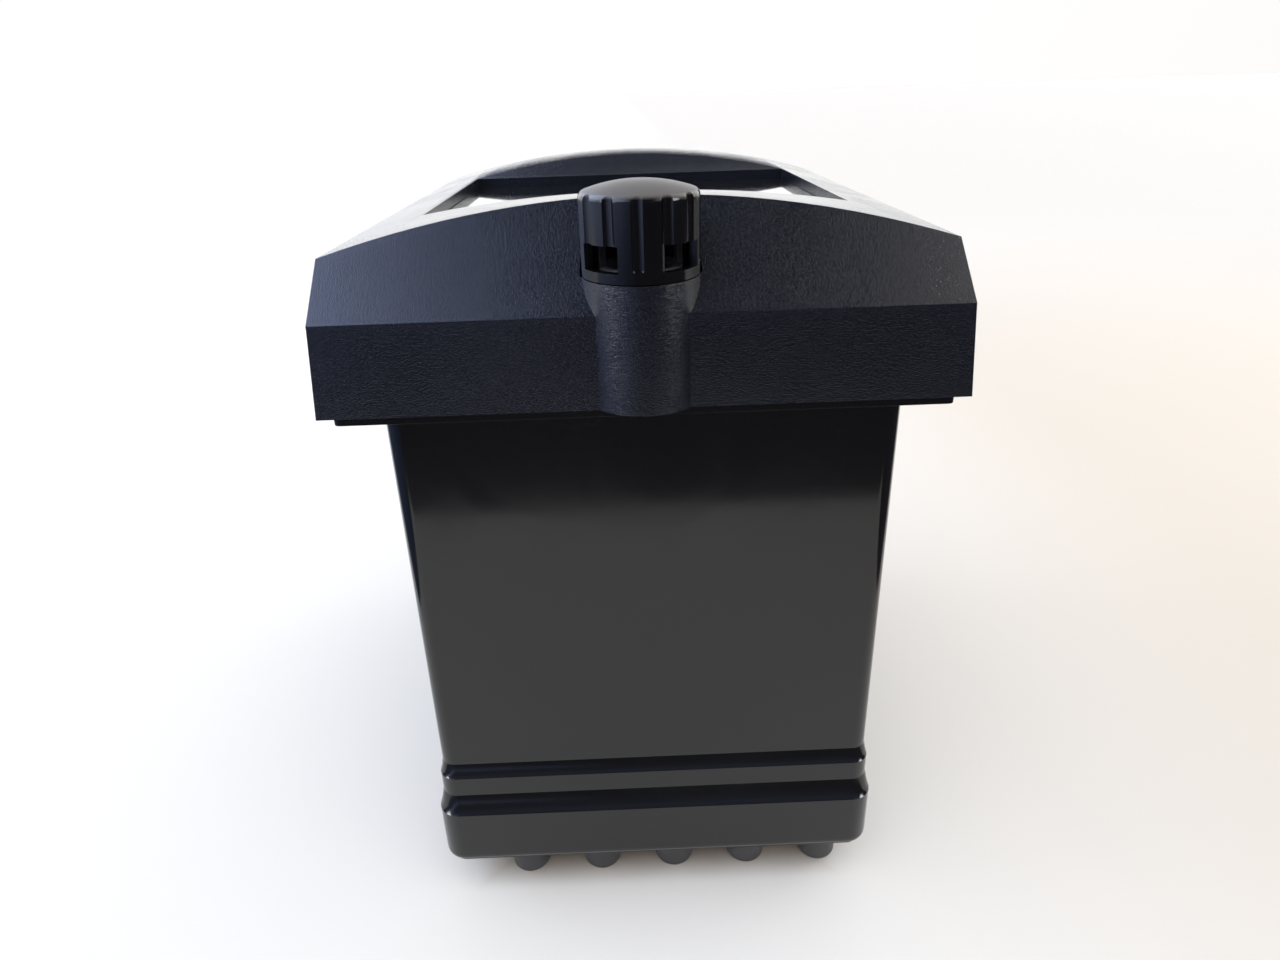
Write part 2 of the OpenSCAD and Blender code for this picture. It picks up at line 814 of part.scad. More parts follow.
module hood_form(t) {
    intersection() {
        translate([0, hood_d, 0]) rotate([90, 0, 0]) linear_extrude(2 * hood_d) cross_outline(t);
        translate([-hood_w, 0, 0]) rotate([90, 0, 90]) linear_extrude(2 * hood_w) long_outline(t);
    }
}

function hood_screw_spots() = [for (sx = [-1, 1], sy = [-1, 1]) [sx * screw_x, sy * screw_y]];

// Room of the recess from z up, with its leaning front and rear faces, grown by t
module recess_room(t, z) {
    y = well_y + t;
    bend = flare_z - t * tan(recess_flare / 2);
    translate([-well_x - t, -recess_shift, 0]) rotate([90, 0, 90]) linear_extrude(2 * (well_x + t)) {
        polygon([[-y, z], [y, z], [y, bend], [y + flare_run, bend + flare_rise],
            [-y - flare_run, bend + flare_rise], [-y, bend]]);
    }
}

module hood_inner_frame() {
    intersection() {
        hood_form(0);
        union() {
            // Wall of the recess and ledge under the panel
            difference() {
                recess_room(hood_wall, ledge_z);
                recess_room(0, panel_z);
                recess_room(-ledge_w, ledge_z - cut);
            }
            for (p = hood_screw_spots()) rod(p[0], p[1], deck_top, boss_r, crown_rise + skirt_h);
        }
    }
}

module hood() {
    color(black) placed() difference() {
        union() {
            difference() {
                hood_form(0);
                hood_form(hood_wall);
                recess_room(0, panel_z);
            }
            hood_inner_frame();
            // Pocket behind the knob
            intersection() {
                hood_form(0);
                rod(0, tower_y, rim_z - hood_wall, tower_r + pocket_gap + hood_wall,
                    crown_z - rim_z + hood_wall);
            }
            // Tower; its hidden rear half ends above the lid pan
            difference() {
                rod(0, tower_y, hood_z, tower_r, tower_rim);
                block(-hood_w, hood_w, -lip_y - slack, 0, hood_z - cut, deck_top + slack - hood_z + cut);
            }
        }
        rod(0, tower_y, rim_z, tower_r + pocket_gap, crown_z - rim_z + cut);
        rod(0, tower_y, tower_floor, tower_neck, tower_rim);
        difference() {
            rod(0, tower_y, tower_floor, tower_bore, tower_rim);
            rod(0, tower_y, shelf_z, tower_bore + cut, shelf_t);
        }
        y_rod(0, vent_z, vent_pipe_r + slack, tower_y, vent_y);
        for (sx = [-1, 1]) y_rod(sx * tap_x, duct_z, duct_r + slack, hood_d / 4, hood_d);
        y_rod(0, duct_z, gland_tube_r + slack, hood_d / 4, hood_d);
        for (p = hood_screw_spots()) rod(p[0], p[1], deck_top - cut, screw_r, cut + hood_screw_l + slack);
    }
}

module recess_panel() {
    w = recess_w - 2 * slack;
    d = recess_d - 2 * slack;
    color(black) placed() translate([0, -recess_shift, 0]) rounded_block(w, d, 1, panel_z, panel_t);
}

// ---- Lid pan, seal and lock bars ----

function motor_spots() = [for (a = [45 : 90 : 315]) [motor_lug_r * cos(a), pump_y + motor_lug_r * sin(a)]];

function pump_spots() = [for (a = pump_angles) [lug_r * cos(a), pump_y + lug_r * sin(a)]];

module bar_guide(sx) {
    for (y = [-guide_y, guide_y, guide_y + hook_y]) {
        difference() {
            mirror([sx < 0 ? 1 : 0, 0, 0]) {
                block(bar_x - bar_gap - slack, lip_x - cut, y - guide_len / 2, y + guide_len / 2,
                    deck_z - guide_h, guide_h + cut);
            }
            lock_bar_section(sx, bar_gap);
        }
    }
}

// Section of a lock bar, drawn long; clearance is added all round
module lock_bar_section(sx, clearance) {
    reach = bar_len + (clearance > 0 ? hood_d : 0);
    mirror([sx < 0 ? 1 : 0, 0, 0]) {
        block(bar_x - clearance, bar_x + bar_t + clearance, -reach / 2, reach / 2, hook_z - clearance,
            bar_top - hook_z + 2 * clearance);
        block(bar_x - clearance, bar_x + bar_head_w + clearance, -reach / 2, reach / 2,
            bar_top - bar_head_h - clearance, bar_head_h + 2 * clearance);
    }
}

module lock_bar(sx) {
    lock_bar_section(sx, 0);
    mirror([sx < 0 ? 1 : 0, 0, 0]) {
        for (sy = [-1, 1]) {
            block(flange_x - hook_reach, bar_x + cut, sy * hook_y - hook_len / 2, sy * hook_y + hook_len / 2,
                hook_z, hook_t);
        }
        // Thumb tab with three grip ribs
        block(bar_x + bar_t - cut, bar_x + bar_head_w, -bar_tab_l / 2, bar_tab_l / 2, hook_z, bar_tab_h);
        for (y = [-bar_tab_l / 3, 0, bar_tab_l / 3]) {
            block(bar_x + bar_t, bar_x + bar_head_w + 2 * bar_gap, y - 1, y + 1, hook_z, bar_tab_h);
        }
    }
}

module left_lock_bar() {
    color(dark_grey) placed() lock_bar(-1);
}

module right_lock_bar() {
    color(dark_grey) placed() lock_bar(1);
}

module lid_pan() {
    spigot_x = inner_w - 2 * spigot_gap;
    spigot_y = inner_d - 2 * spigot_gap;
    color(black) placed() difference() {
        union() {
            // Deck with the outer lip and the spigot inside the tub
            rounded_block(2 * lip_x, 2 * lip_y, lip_r, deck_z, deck_t);
            difference() {
                rounded_block(2 * lip_x, 2 * lip_y, lip_r, hood_z - lip_drop, deck_top - hood_z + lip_drop);
                rounded_block(2 * lip_x - 2 * pan_wall, 2 * lip_y - 2 * pan_wall, 1, hood_z - lip_drop - cut,
                    deck_z - hood_z + lip_drop + cut);
            }
            difference() {
                rounded_block(spigot_x, spigot_y, tub_r - tub_wall, deck_z - spigot_h, spigot_h + cut);
                rounded_block(spigot_x - 2 * pan_wall, spigot_y - 2 * pan_wall, 2, deck_z - spigot_h - cut,
                    spigot_h + cut);
            }
            // Rib that closes the gap above the divider wall
            block(-spigot_x / 2 + 1, spigot_x / 2 - 1, divider_y - divider_t, divider_y, deck_z - spigot_h,
                spigot_h + cut);
            for (sx = [-1, 1]) bar_guide(sx);
            // Well around the magnet
            rod(0, pump_y, deck_z, well_r + well_wall, well_top + well_cap - deck_z);
            for (p = motor_spots()) rod(p[0], p[1], deck_z - motor_boss_h, boss_r, motor_boss_h + cut);
            for (p = pump_spots()) rod(p[0], p[1], deck_top - cut, boss_r, pump_boss_h + cut);
        }
        rod(0, pump_y, deck_z - cut, well_r, bush_z - deck_z + cut);
        rod(0, pump_y, deck_z, bush_r, well_top - deck_z);
        rod(-tap_x, inlet_drop_y, deck_z - spigot_h, duct_r + close_fit, deck_t + spigot_h + cut);
        rod(tap_x, pump_y, deck_z - cut, duct_r + close_fit, deck_t + 2 * cut);
        rod(0, vent_y, deck_z - cut, vent_pipe_r + close_fit, deck_t + 2 * cut);
        for (p = hood_screw_spots()) rod(p[0], p[1], deck_z - cut, hole_r, deck_t + 2 * cut);
        for (p = motor_spots()) rod(p[0], p[1], deck_z - motor_boss_h + 1, screw_r, deck_t + motor_boss_h);
        for (p = pump_spots()) rod(p[0], p[1], deck_z - cut, screw_r, deck_t + pump_boss_h - 1 + cut);
    }
}

module lid_seal() {
    out = seal_w / 2 - tub_wall / 2;
    color(rubber_grey) placed() difference() {
        rounded_block(tub_w + 2 * out, tub_d + 2 * out, tub_r + out, tub_top, seal_t);
        rounded_block(tub_w + 2 * out - 2 * seal_w, tub_d + 2 * out - 2 * seal_w, tub_r + out - seal_w,
            tub_top - cut, seal_t + 2 * cut);
    }
}

module hood_screws() {
    color(steel) placed() for (p = hood_screw_spots()) {
        translate([p[0], p[1], deck_z]) screw(deck_t + hood_screw_l);
    }
}

// ---- Pump ----

module motor_housing() {
    color(dark_grey) placed() translate([0, pump_y, deck_top]) difference() {
        union() {
            cylinder(h = motor_h, r = motor_r);
            for (a = [45 : 90 : 315]) rotate(a) {
                rod(motor_lug_r, 0, 0, lug_outer, lug_t);
                block(motor_r - 2, motor_lug_r, -lug_outer, lug_outer, 0, lug_t);
            }
        }
        translate([0, 0, -cut]) cylinder(h = motor_h - motor_wall + cut, r = motor_r - motor_wall);
        for (a = [45 : 90 : 315]) rotate(a) rod(motor_lug_r, 0, -cut, hole_r, lug_t + 2 * cut);
        y_rod(0, duct_z - deck_top, gland_bore, 0, motor_r + cut);
    }
}

module stator_core() {
    color(steel) placed() translate([0, pump_y, stator_z]) difference() {
        union() {
            ring(stator_r, stator_r - stator_yoke, stator_h);
            intersection() {
                union() {
                    block(-stator_r, stator_r, -pole_w / 2, pole_w / 2, 0, stator_h);
                    block(-pole_w / 2, pole_w / 2, -stator_r, stator_r, 0, stator_h);
                }
                cylinder(h = stator_h, r = stator_r - 1);
            }
        }
        translate([0, 0, -cut]) cylinder(h = stator_h + 2 * cut, r = pole_in);
    }
}

module stator_coils() {
    coil_in = pole_in + 2.5;
    coil_y = pole_w / 2 + 4;
    yoke_in = stator_r - stator_yoke - slack;
    coil_out = sqrt(yoke_in * yoke_in - coil_y * coil_y);
    color(copper) placed() translate([0, pump_y, stator_z]) for (a = [0 : 90 : 270]) rotate(a) difference() {
        block(coil_in, coil_out, -coil_y, coil_y, -3, stator_h + 6);
        block(coil_in - cut, coil_out + cut, -pole_w / 2 - slack, pole_w / 2 + slack, -slack,
            stator_h + 2 * slack);
    }
}

module motor_screws() {
    color(steel) placed() for (p = motor_spots()) {
        translate([p[0], p[1], deck_top + lug_t]) rotate([180, 0, 0]) screw(lug_t + deck_t + motor_boss_h - 2);
    }
}

module rotor_magnet() {
    color(dark_grey) placed() translate([0, pump_y, magnet_z]) ring(magnet_r, shaft_r + shaft_fit, magnet_h);
}

module impeller() {
    hub_top = magnet_z;
    disc_z = vane_z + vane_h;
    color(white) placed() translate([0, pump_y, 0]) difference() {
        union() {
            rod(0, 0, vane_z, hub_r, hub_top - vane_z);
            rod(0, 0, disc_z, impeller_r, disc_t);
            for (a = [0 : 360 / vane_count : 359]) rotate(a) {
                block(hub_r - 1, impeller_r - 0.5, -1, 1, vane_z, vane_h + 1);
            }
        }
        rod(0, 0, vane_z - cut, shaft_r + shaft_fit, hub_top - vane_z + 2 * cut);
    }
}

module pump_shaft() {
    color(white) placed() rod(0, pump_y, shaft_z, shaft_r, bush_z + bush_h - shaft_z - slack);
}

module upper_bush() {
    color(rubber_grey) placed() translate([0, pump_y, bush_z]) {
        ring(bush_r - close_fit, shaft_r + press_gap, bush_h);
    }
}

module lower_bush() {
    color(rubber_grey) placed() translate([0, pump_y, cover_z - eye_drop]) {
        ring(lower_bush_r - close_fit, shaft_r + press_gap, lower_bush_h);
    }
}

// Plan of the pump chamber, grown by t
module volute_plan(t) {
    circle(volute_r + t);
    translate([tap_x, 0]) circle(duct_r + t);
    translate([volute_r / 2, -outlet_w / 2 - t]) square([tap_x - volute_r / 2, outlet_w + 2 * t]);
}

module pump_cover() {
    color(black) placed() translate([0, pump_y, 0]) difference() {
        union() {
            translate([0, 0, cover_z]) linear_extrude(volute_h) volute_plan(volute_wall);
            rod(0, 0, cover_z - eye_drop, eye_hub_r, cover_floor + eye_drop);
            for (a = pump_angles) rotate(a) {
                rod(lug_r, 0, lug_z, lug_outer, lug_t);
                block(volute_r + 1, lug_r, -lug_outer, lug_outer, lug_z, lug_t);
            }
        }
        translate([0, 0, cover_z + cover_floor]) linear_extrude(volute_h) volute_plan(0);
        // Inlet eye, crossed by three arms that hold the bush
        difference() {
            rod(0, 0, cover_z - cut, eye_r, cover_floor + 2 * cut);
            rod(0, 0, cover_z - eye_drop, eye_hub_r, cover_floor + 2 * eye_drop);
            for (a = [30, 150, 270]) rotate(a) block(0, eye_r, -1.2, 1.2, cover_z - 2 * cut, cover_floor + 4);
        }
        rod(0, 0, cover_z - eye_drop - cut, lower_bush_r, cover_floor + eye_drop + 2 * cut);
        for (p = pump_spots()) {
            rod(p[0], p[1] - pump_y, lug_z - cut, hole_r, lug_t + 2 * cut);
        }
    }
}

module pump_gasket() {
    color(rubber_grey) placed() translate([0, pump_y, deck_z - gasket_t]) {
        linear_extrude(gasket_t) difference() {
            volute_plan(volute_wall);
            volute_plan(gasket_in);
        }
    }
}

module pump_screws() {
    color(steel) placed() for (p = pump_spots()) {
        translate([p[0], p[1], lug_z]) screw(lug_t + gasket_t + deck_t + pump_boss_h - 2);
    }
}

// ---- Ducts and taps ----

// Pipe that rises from the deck at drop_y and runs back to the tap
module duct(x, drop_y, foot_z) {
    difference() {
        union() {
            rod(x, drop_y, foot_z, duct_r, duct_z - foot_z);
            translate([x, drop_y, duct_z]) sphere(duct_r);
            y_rod(x, duct_z, duct_r, drop_y, tap_y);
        }
        rod(x, drop_y, foot_z - cut, duct_bore, duct_z - foot_z + cut);
        translate([x, drop_y, duct_z]) sphere(duct_bore);
        y_rod(x, duct_z, duct_bore, drop_y, tap_y + cut);
    }
}

module inlet_duct() {
    color(dark_grey) placed() duct(-tap_x, inlet_drop_y, deck_z - 3);
}

module outlet_duct() {
    color(dark_grey) placed() duct(tap_x, pump_y, deck_z);
}

module tap_body(x) {
    translate([x, 0, duct_z]) difference() {
        union() {
            y_rod(0, 0, duct_bore - close_fit, tap_y - spigot_l, tap_y + cut);
            y_rod(0, 0, tap_flange_r, tap_y, barrel_y);
            y_rod(0, 0, barrel_r, barrel_y, tail_y);
            y_rod(0, 0, thread_r, tail_y - cut, tail_y + thread_len);
            y_rod(0, 0, tail_r, tail_y, rear_reach);
        }
        y_rod(0, 0, tap_bore, tap_y - spigot_l - cut, rear_reach + cut);
        translate([0, ball_y, 0]) sphere(ball_r + close_fit);
        rod(0, ball_y, 0, stem_r + close_fit, barrel_r + cut);
    }
}

module inlet_tap() {
    color(black) placed() tap_body(-tap_x);
}

module outlet_tap() {
    color(black) placed() tap_body(tap_x);
}

module tap_ball(x) {
    translate([x, ball_y, duct_z]) difference() {
        union() {
            sphere(ball_r);
            rod(0, 0, 0, stem_r, barrel_r + 1);
        }
        y_rod(0, 0, tap_bore, -ball_r - cut, ball_r + cut);
    }
}

module inlet_ball() {
    color(white) placed() tap_ball(-tap_x);
}

module outlet_ball() {
    color(white) placed() tap_ball(tap_x);
}

module tap_lever(x) {
    translate([x, ball_y, duct_z + barrel_r + 1]) {
        cylinder(h = lever_t, r = lever_w / 2 + 2);
        block(-lever_w / 2, lever_w / 2, 0, lever_len - lever_w / 2, 0, lever_t);
        translate([0, lever_len - lever_w / 2, 0]) cylinder(h = lever_t, r = lever_w / 2);
    }
}

module inlet_lever() {
    color(dark_grey) placed() tap_lever(-tap_x);
}

module outlet_lever() {
    color(dark_grey) placed() tap_lever(tap_x);
}

module hose_nut(x) {
    nut_y = tail_y + 0.4;
    grip_count = 16;
    translate([x, 0, duct_z]) difference() {
        y_rod(0, 0, nut_r, nut_y, nut_y + nut_len);
        y_rod(0, 0, thread_r + close_fit, nut_y - cut, nut_y + thread_len);
        y_rod(0, 0, tail_r + 2, nut_y, nut_y + nut_len + cut);
        for (i = [0 : grip_count - 1]) rotate([0, i * 360 / grip_count, 0]) {
            y_rod(nut_r + 0.6, 0, 1.5, nut_y + 2, nut_y + nut_len + cut);
        }
    }
}

module inlet_hose_nut() {
    color(dark_grey) placed() hose_nut(-tap_x);
}

module outlet_hose_nut() {
    color(dark_grey) placed() hose_nut(tap_x);
}

// ---- Vent ----

// Windows around an upright tube, from z up by h; the first is centred on angle a0
module windows(r, z, h, a0) {
    for (i = [0 : window_count - 1]) rotate(a0 + i * 360 / window_count) {
        intersection() {
            rod(0, 0, z, r, h);
            rotate(-window_angle / 2) block(0, 2 * r, 0, 2 * r, z - cut, h + 2 * cut);
            rotate(window_angle / 2 - 90) block(0, 2 * r, 0, 2 * r, z - cut, h + 2 * cut);
        }
    }
}

module vent_core() {
    bore = core_r - core_wall;
    color(black) placed() translate([0, tower_y, 0]) difference() {
        union() {
            rod(0, 0, shelf_z + shelf_t, tower_bore - slack, core_flange_t);
            rod(0, 0, shelf_z + shelf_t, core_r, core_top - shelf_z - shelf_t);
            rod(0, 0, vent_z + 1, tower_neck - slack, shelf_z + shelf_t - vent_z - 1 + cut);
        }
        difference() {
            rod(0, 0, vent_z + vent_pipe_r + 2, bore - 4, core_top - vent_z);
            rod(0, 0, core_top - core_cap_t, bore + cut, cut + core_cap_t);
        }
        rod(0, 0, shelf_z + shelf_t, bore, core_top - core_cap_t - shelf_z - shelf_t);
        rod(0, 0, vent_z - cut, vent_pipe_r + close_fit, vent_pipe_r + 4 + cut);
        rotate(90) block(-vent_pipe_r - slack, tower_r, -vent_pipe_r - slack, vent_pipe_r + slack, vent_z - cut,
            vent_pipe_r + cut + slack);
        windows(core_r + cut, window_z, window_h, window_start);
        rod(0, 0, core_top - core_cap_t - cut, knob_pin_r + shaft_fit, core_cap_t + 2 * cut);
        // Groove for the O-ring
        translate([0, 0, groove_z]) ring(core_r + cut, core_r - 1.5, groove_h);
    }
}

module vent_o_ring() {
    ring_t = 1.1;
    color(rubber_grey) placed() translate([0, tower_y, groove_z + groove_h / 2]) {
        rotate_extrude() translate([core_r - 1.4 + ring_t, 0]) circle(ring_t, $fn = 24);
    }
}

module vent_pipe() {
    bore = vent_pipe_r - vent_pipe_wall;
    top = vent_z + vent_pipe_r + 2;
    color(rubber_grey) placed() difference() {
        union() {
            rod(0, tower_y, vent_z, vent_pipe_r, top - vent_z);
            translate([0, tower_y, vent_z]) sphere(vent_pipe_r);
            y_rod(0, vent_z, vent_pipe_r, tower_y, vent_y);
            translate([0, vent_y, vent_z]) sphere(vent_pipe_r);
            rod(0, vent_y, deck_z, vent_pipe_r, vent_z - deck_z);
        }
        rod(0, tower_y, vent_z, bore, top - vent_z + cut);
        translate([0, tower_y, vent_z]) sphere(bore);
        y_rod(0, vent_z, bore, tower_y, vent_y);
        translate([0, vent_y, vent_z]) sphere(bore);
        rod(0, vent_y, deck_z - cut, bore, vent_z - deck_z + cut);
    }
}

// Half of the knob's outline: side, rounding and dome
module knob_outline() {
    steps = 8;
    round_z = knob_z + knob_h;
    side = [[0, knob_z], [tower_r, knob_z]];
    edge = [for (i = [0 : steps]) let (a = i * (90 - dome_end) / steps)
        [dome_r + dome_round * cos(a), round_z + dome_round * sin(a)]];
    dome = [for (i = [steps - 1 : -1 : 1]) let (a = i * dome_end / steps)
        [dome_ball * sin(a), round_z + dome_h - dome_ball * (1 - cos(a))]];
    polygon(concat(side, edge, dome, [[0, dome[len(dome) - 1][1]]]));
}

module vent_knob() {
    color(black) placed() translate([0, tower_y, 0]) difference() {
        rotate_extrude($fn = 256) knob_outline();
        difference() {
            rod(0, 0, knob_z - cut, knob_bore, knob_h + cut);
            rod(0, 0, core_top - pin_h, knob_pin_r, knob_h);
        }
        windows(tower_r + cut, window_z, window_h, window_start);
        for (i = [0 : flute_count - 1]) rotate(flute_turn - 90 + i * 360 / flute_count) {
            rod(tower_r + flute_r - flute_depth, 0, window_z + flute_lift, flute_r, knob_h + dome_h);
        }
    }
}

// ---- Cable gland and lead ----

module cable_gland() {
    color(black) placed() translate([0, 0, duct_z]) difference() {
        union() {
            y_rod(0, 0, gland_r, gland_y, gland_y + gland_flange_t);
            y_rod(0, 0, gland_tube_r, skirt_rear - hood_wall - 7, gland_y + cut);
            translate([0, gland_y + gland_flange_t / 2, 0]) rotate([-90, 0, 0]) {
                cylinder(h = gland_hex_l, r = gland_r - 0.5, $fn = 6);
            }
        }
        y_rod(0, 0, gland_bore, skirt_rear - hood_wall - 8, gland_y + gland_hex_l + 2 * gland_flange_t);
    }
}

module gland_nut() {
    y2 = skirt_rear - hood_wall - 0.8;
    color(black) placed() translate([0, 0, duct_z]) difference() {
        translate([0, y2 - gland_nut_t, 0]) rotate([-90, 0, 0]) cylinder(h = gland_nut_t, r = gland_r, $fn = 6);
        y_rod(0, 0, gland_tube_r + close_fit, y2 - gland_nut_t - cut, y2 + cut);
    }
}

module motor_lead() {
    color(rubber_grey) placed() y_rod(0, duct_z, gland_bore - 0.1, pump_y + motor_r - motor_wall - 1, gland_y);
}

canister_tub();
base_plate();
rubber_feet();
base_screws();
lower_basket();
middle_basket();
upper_basket();
bio_rings();
coarse_sponge();
fine_pad();
divider_wall();
prefilter_foam();
hood();
recess_panel();
lid_pan();
lid_seal();
hood_screws();
left_lock_bar();
right_lock_bar();
motor_housing();
stator_core();
stator_coils();
motor_screws();
rotor_magnet();
impeller();
pump_shaft();
upper_bush();
lower_bush();
pump_cover();
pump_gasket();
pump_screws();
inlet_duct();
outlet_duct();
inlet_tap();
outlet_tap();
inlet_ball();
outlet_ball();
inlet_lever();
outlet_lever();
inlet_hose_nut();
outlet_hose_nut();
vent_core();
vent_o_ring();
vent_pipe();
vent_knob();
cable_gland();
gland_nut();
motor_lead();
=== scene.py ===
# %% [markdown]
# # A canister filter, dressed in Blender
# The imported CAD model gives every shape, size and place. This script adds the camera, the light and the
# looks: rounded edges, moulded grain, gloss, rubber, foam and wear. Each `# %%` cell is one step and can be
# read alone. All lengths are metres. X runs across the filter, -Y is its narrow front, Z points up from the
# floor.

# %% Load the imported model
import json
import math

import bmesh
import bpy
from mathutils import Matrix, Vector, noise

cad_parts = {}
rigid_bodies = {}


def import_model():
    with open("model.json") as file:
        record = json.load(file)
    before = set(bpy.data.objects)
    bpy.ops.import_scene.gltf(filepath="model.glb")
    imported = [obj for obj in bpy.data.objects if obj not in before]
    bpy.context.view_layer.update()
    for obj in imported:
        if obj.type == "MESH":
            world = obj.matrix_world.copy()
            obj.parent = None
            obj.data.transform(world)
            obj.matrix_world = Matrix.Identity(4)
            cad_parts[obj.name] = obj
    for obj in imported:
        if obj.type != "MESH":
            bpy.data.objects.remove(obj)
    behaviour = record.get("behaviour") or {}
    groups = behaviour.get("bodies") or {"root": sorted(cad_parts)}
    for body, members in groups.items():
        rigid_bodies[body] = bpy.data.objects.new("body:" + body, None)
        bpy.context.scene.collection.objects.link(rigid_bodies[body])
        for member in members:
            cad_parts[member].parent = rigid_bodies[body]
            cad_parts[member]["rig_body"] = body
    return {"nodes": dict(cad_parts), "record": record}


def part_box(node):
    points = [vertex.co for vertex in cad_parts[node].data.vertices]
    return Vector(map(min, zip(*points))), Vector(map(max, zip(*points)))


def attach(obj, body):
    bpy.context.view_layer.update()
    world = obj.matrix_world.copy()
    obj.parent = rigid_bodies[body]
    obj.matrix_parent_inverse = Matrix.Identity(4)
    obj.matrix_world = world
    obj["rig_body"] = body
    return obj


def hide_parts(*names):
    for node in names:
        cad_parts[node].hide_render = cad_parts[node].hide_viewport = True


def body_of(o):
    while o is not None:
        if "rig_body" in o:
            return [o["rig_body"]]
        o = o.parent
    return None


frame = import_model()
NODES = frame["nodes"]
SUBPARTS = {part["node"]: part for part in frame["record"]["subparts"]}
scene = bpy.context.scene
scene.view_settings.view_transform = "Standard"
bpy.context.view_layer.update()

# %% [markdown]
# ## Camera
# The camera stands close to the filter's narrow front, a little above the hood, and looks 26 degrees down.
# Its place could be set with Euler angles, but a product of matrices shows the order plainly. It is read
# from right to left: roll about the view axis, tilt down from upright, turn about Z, and then move to the
# camera's place.

# %% Camera
CAMERA_AT = Vector((-0.0072, -0.5138, 0.4169))
TILT_DOWN, TURN, ROLL = 0.4536, -0.0131, -0.0324
SENSOR_MM, FRAME_PX, FOCAL_PX = 36.0, 1280, 805.95
camera = bpy.data.objects.new("front_camera", bpy.data.cameras.new("front_camera"))
scene.collection.objects.link(camera)
upright = math.pi / 2
camera.matrix_world = (Matrix.Translation(CAMERA_AT) @ Matrix.Rotation(TURN, 4, "Z")
    @ Matrix.Rotation(upright - TILT_DOWN, 4, "X") @ Matrix.Rotation(ROLL, 4, "Z"))
camera.data.sensor_width = SENSOR_MM
camera.data.lens = SENSOR_MM * FOCAL_PX / FRAME_PX
camera.data.clip_start = 0.01
scene.camera = camera
print("lens:", round(camera.data.lens, 2), "mm")

# %% [markdown]
# ## Helpers for shader nodes
# Materials and the world are trees of nodes. Made one by one they need many lines, so a few small functions
# do the repeated work: one makes a node and fills its sockets, the others are the sums and mixes used most.


# %% Node helpers
def add(tree, kind, **values):
    """Makes a node. Each value sets a property, a named input, or input i0, i1...; a socket is linked."""
    node = tree.nodes.new(kind)
    for key, value in values.items():
        if key in node.bl_rna.properties:
            setattr(node, key, value)
            continue
        spot = int(key[1:]) if key[0] == "i" and key[1:].isdigit() else key
        if isinstance(value, bpy.types.NodeSocket):
            tree.links.new(value, node.inputs[spot])
        else:
            node.inputs[spot].default_value = value
    return node


def feed(tree, node, **sockets):
    """Links sockets to inputs of a node. Their names are written with _ for a space."""
    for title, socket in sockets.items():
        tree.links.new(socket, node.inputs[title.replace("_", " ")])


def maths(tree, operation, *terms, clamp=False):
    """One Math node; each term is a number or a socket."""
    inputs = {f"i{spot}": term for spot, term in enumerate(terms)}
    return add(tree, "ShaderNodeMath", operation=operation, use_clamp=clamp, **inputs).outputs[0]


def ramp(tree, value, low, high, out_low=0.0, out_high=1.0):
    """Smooth step of a value from low..high to out_low..out_high."""
    node = add(tree, "ShaderNodeMapRange", interpolation_type="SMOOTHSTEP", Value=value)
    for spot, number in zip(("From Min", "From Max", "To Min", "To Max"), (low, high, out_low, out_high)):
        node.inputs[spot].default_value = number
    return node.outputs[0]


def mix_colour(tree, factor, a, b):
    """Colour a where the factor's socket gives 0, b where it gives 1; both are colours or sockets."""
    node = add(tree, "ShaderNodeMix", data_type="RGBA")
    for spot, value in (("Factor", factor), ("A", a), ("B", b)):
        socket = next(s for s in node.inputs if s.name == spot and s.enabled and s.type in ("VALUE", "RGBA"))
        if isinstance(value, bpy.types.NodeSocket):
            tree.links.new(value, socket)
        else:
            socket.default_value = (*value, 1.0)
    return next(s for s in node.outputs if s.enabled and s.type == "RGBA")


def cloudy(tree, place, scale, detail, output=0, **more):
    """Noise texture at a place: output 0 is a number, "Color" three of them."""
    return add(tree, "ShaderNodeTexNoise", Vector=place, Scale=scale, Detail=detail, **more).outputs[output]


print("helpers ready")

# %% [markdown]
# ## World
# The filter is black and glossy, so what it shows is mostly the room that it mirrors. A picture of a room
# could light it, but here the room is worked out from the direction of each ray: bright behind the filter,
# dim in front, and a bluish window high on the left. First come the tints and the three directions.


# %% Tints and directions of the world
def scaled(colour, factor):
    """A colour made brighter or darker."""
    return tuple(c * factor for c in colour)


WHITE, WARM, BLUE = (1.0, 1.0, 1.0), (1.0, 0.97, 0.93), (0.55, 0.66, 1.0)
DARK, DIM_BLUE = (0.08, 0.08, 0.10), (0.10, 0.15, 0.30)
world = bpy.data.worlds.new("studio")
world.use_nodes = True
scene.world = world
tree = world.node_tree
tree.nodes.clear()
look = add(tree, "ShaderNodeTexCoord").outputs["Generated"]
axes = add(tree, "ShaderNodeSeparateXYZ", Vector=look)
across, along, up = axes.outputs["X"], axes.outputs["Y"], axes.outputs["Z"]
to_front = ramp(tree, maths(tree, "MULTIPLY", along, -1.0), -0.25, 0.25)
print("world:", world.name)

# %% [markdown]
# Mirror rays see the room. Its ceiling runs from window blue on the left through dim to warm on the right,
# its back wall is white, and its front is dim. Two small bright windows put the light spots on the rounded
# shoulders. Each is a round patch of directions: the dot product with the window's own direction is the
# cosine of the angle between them.

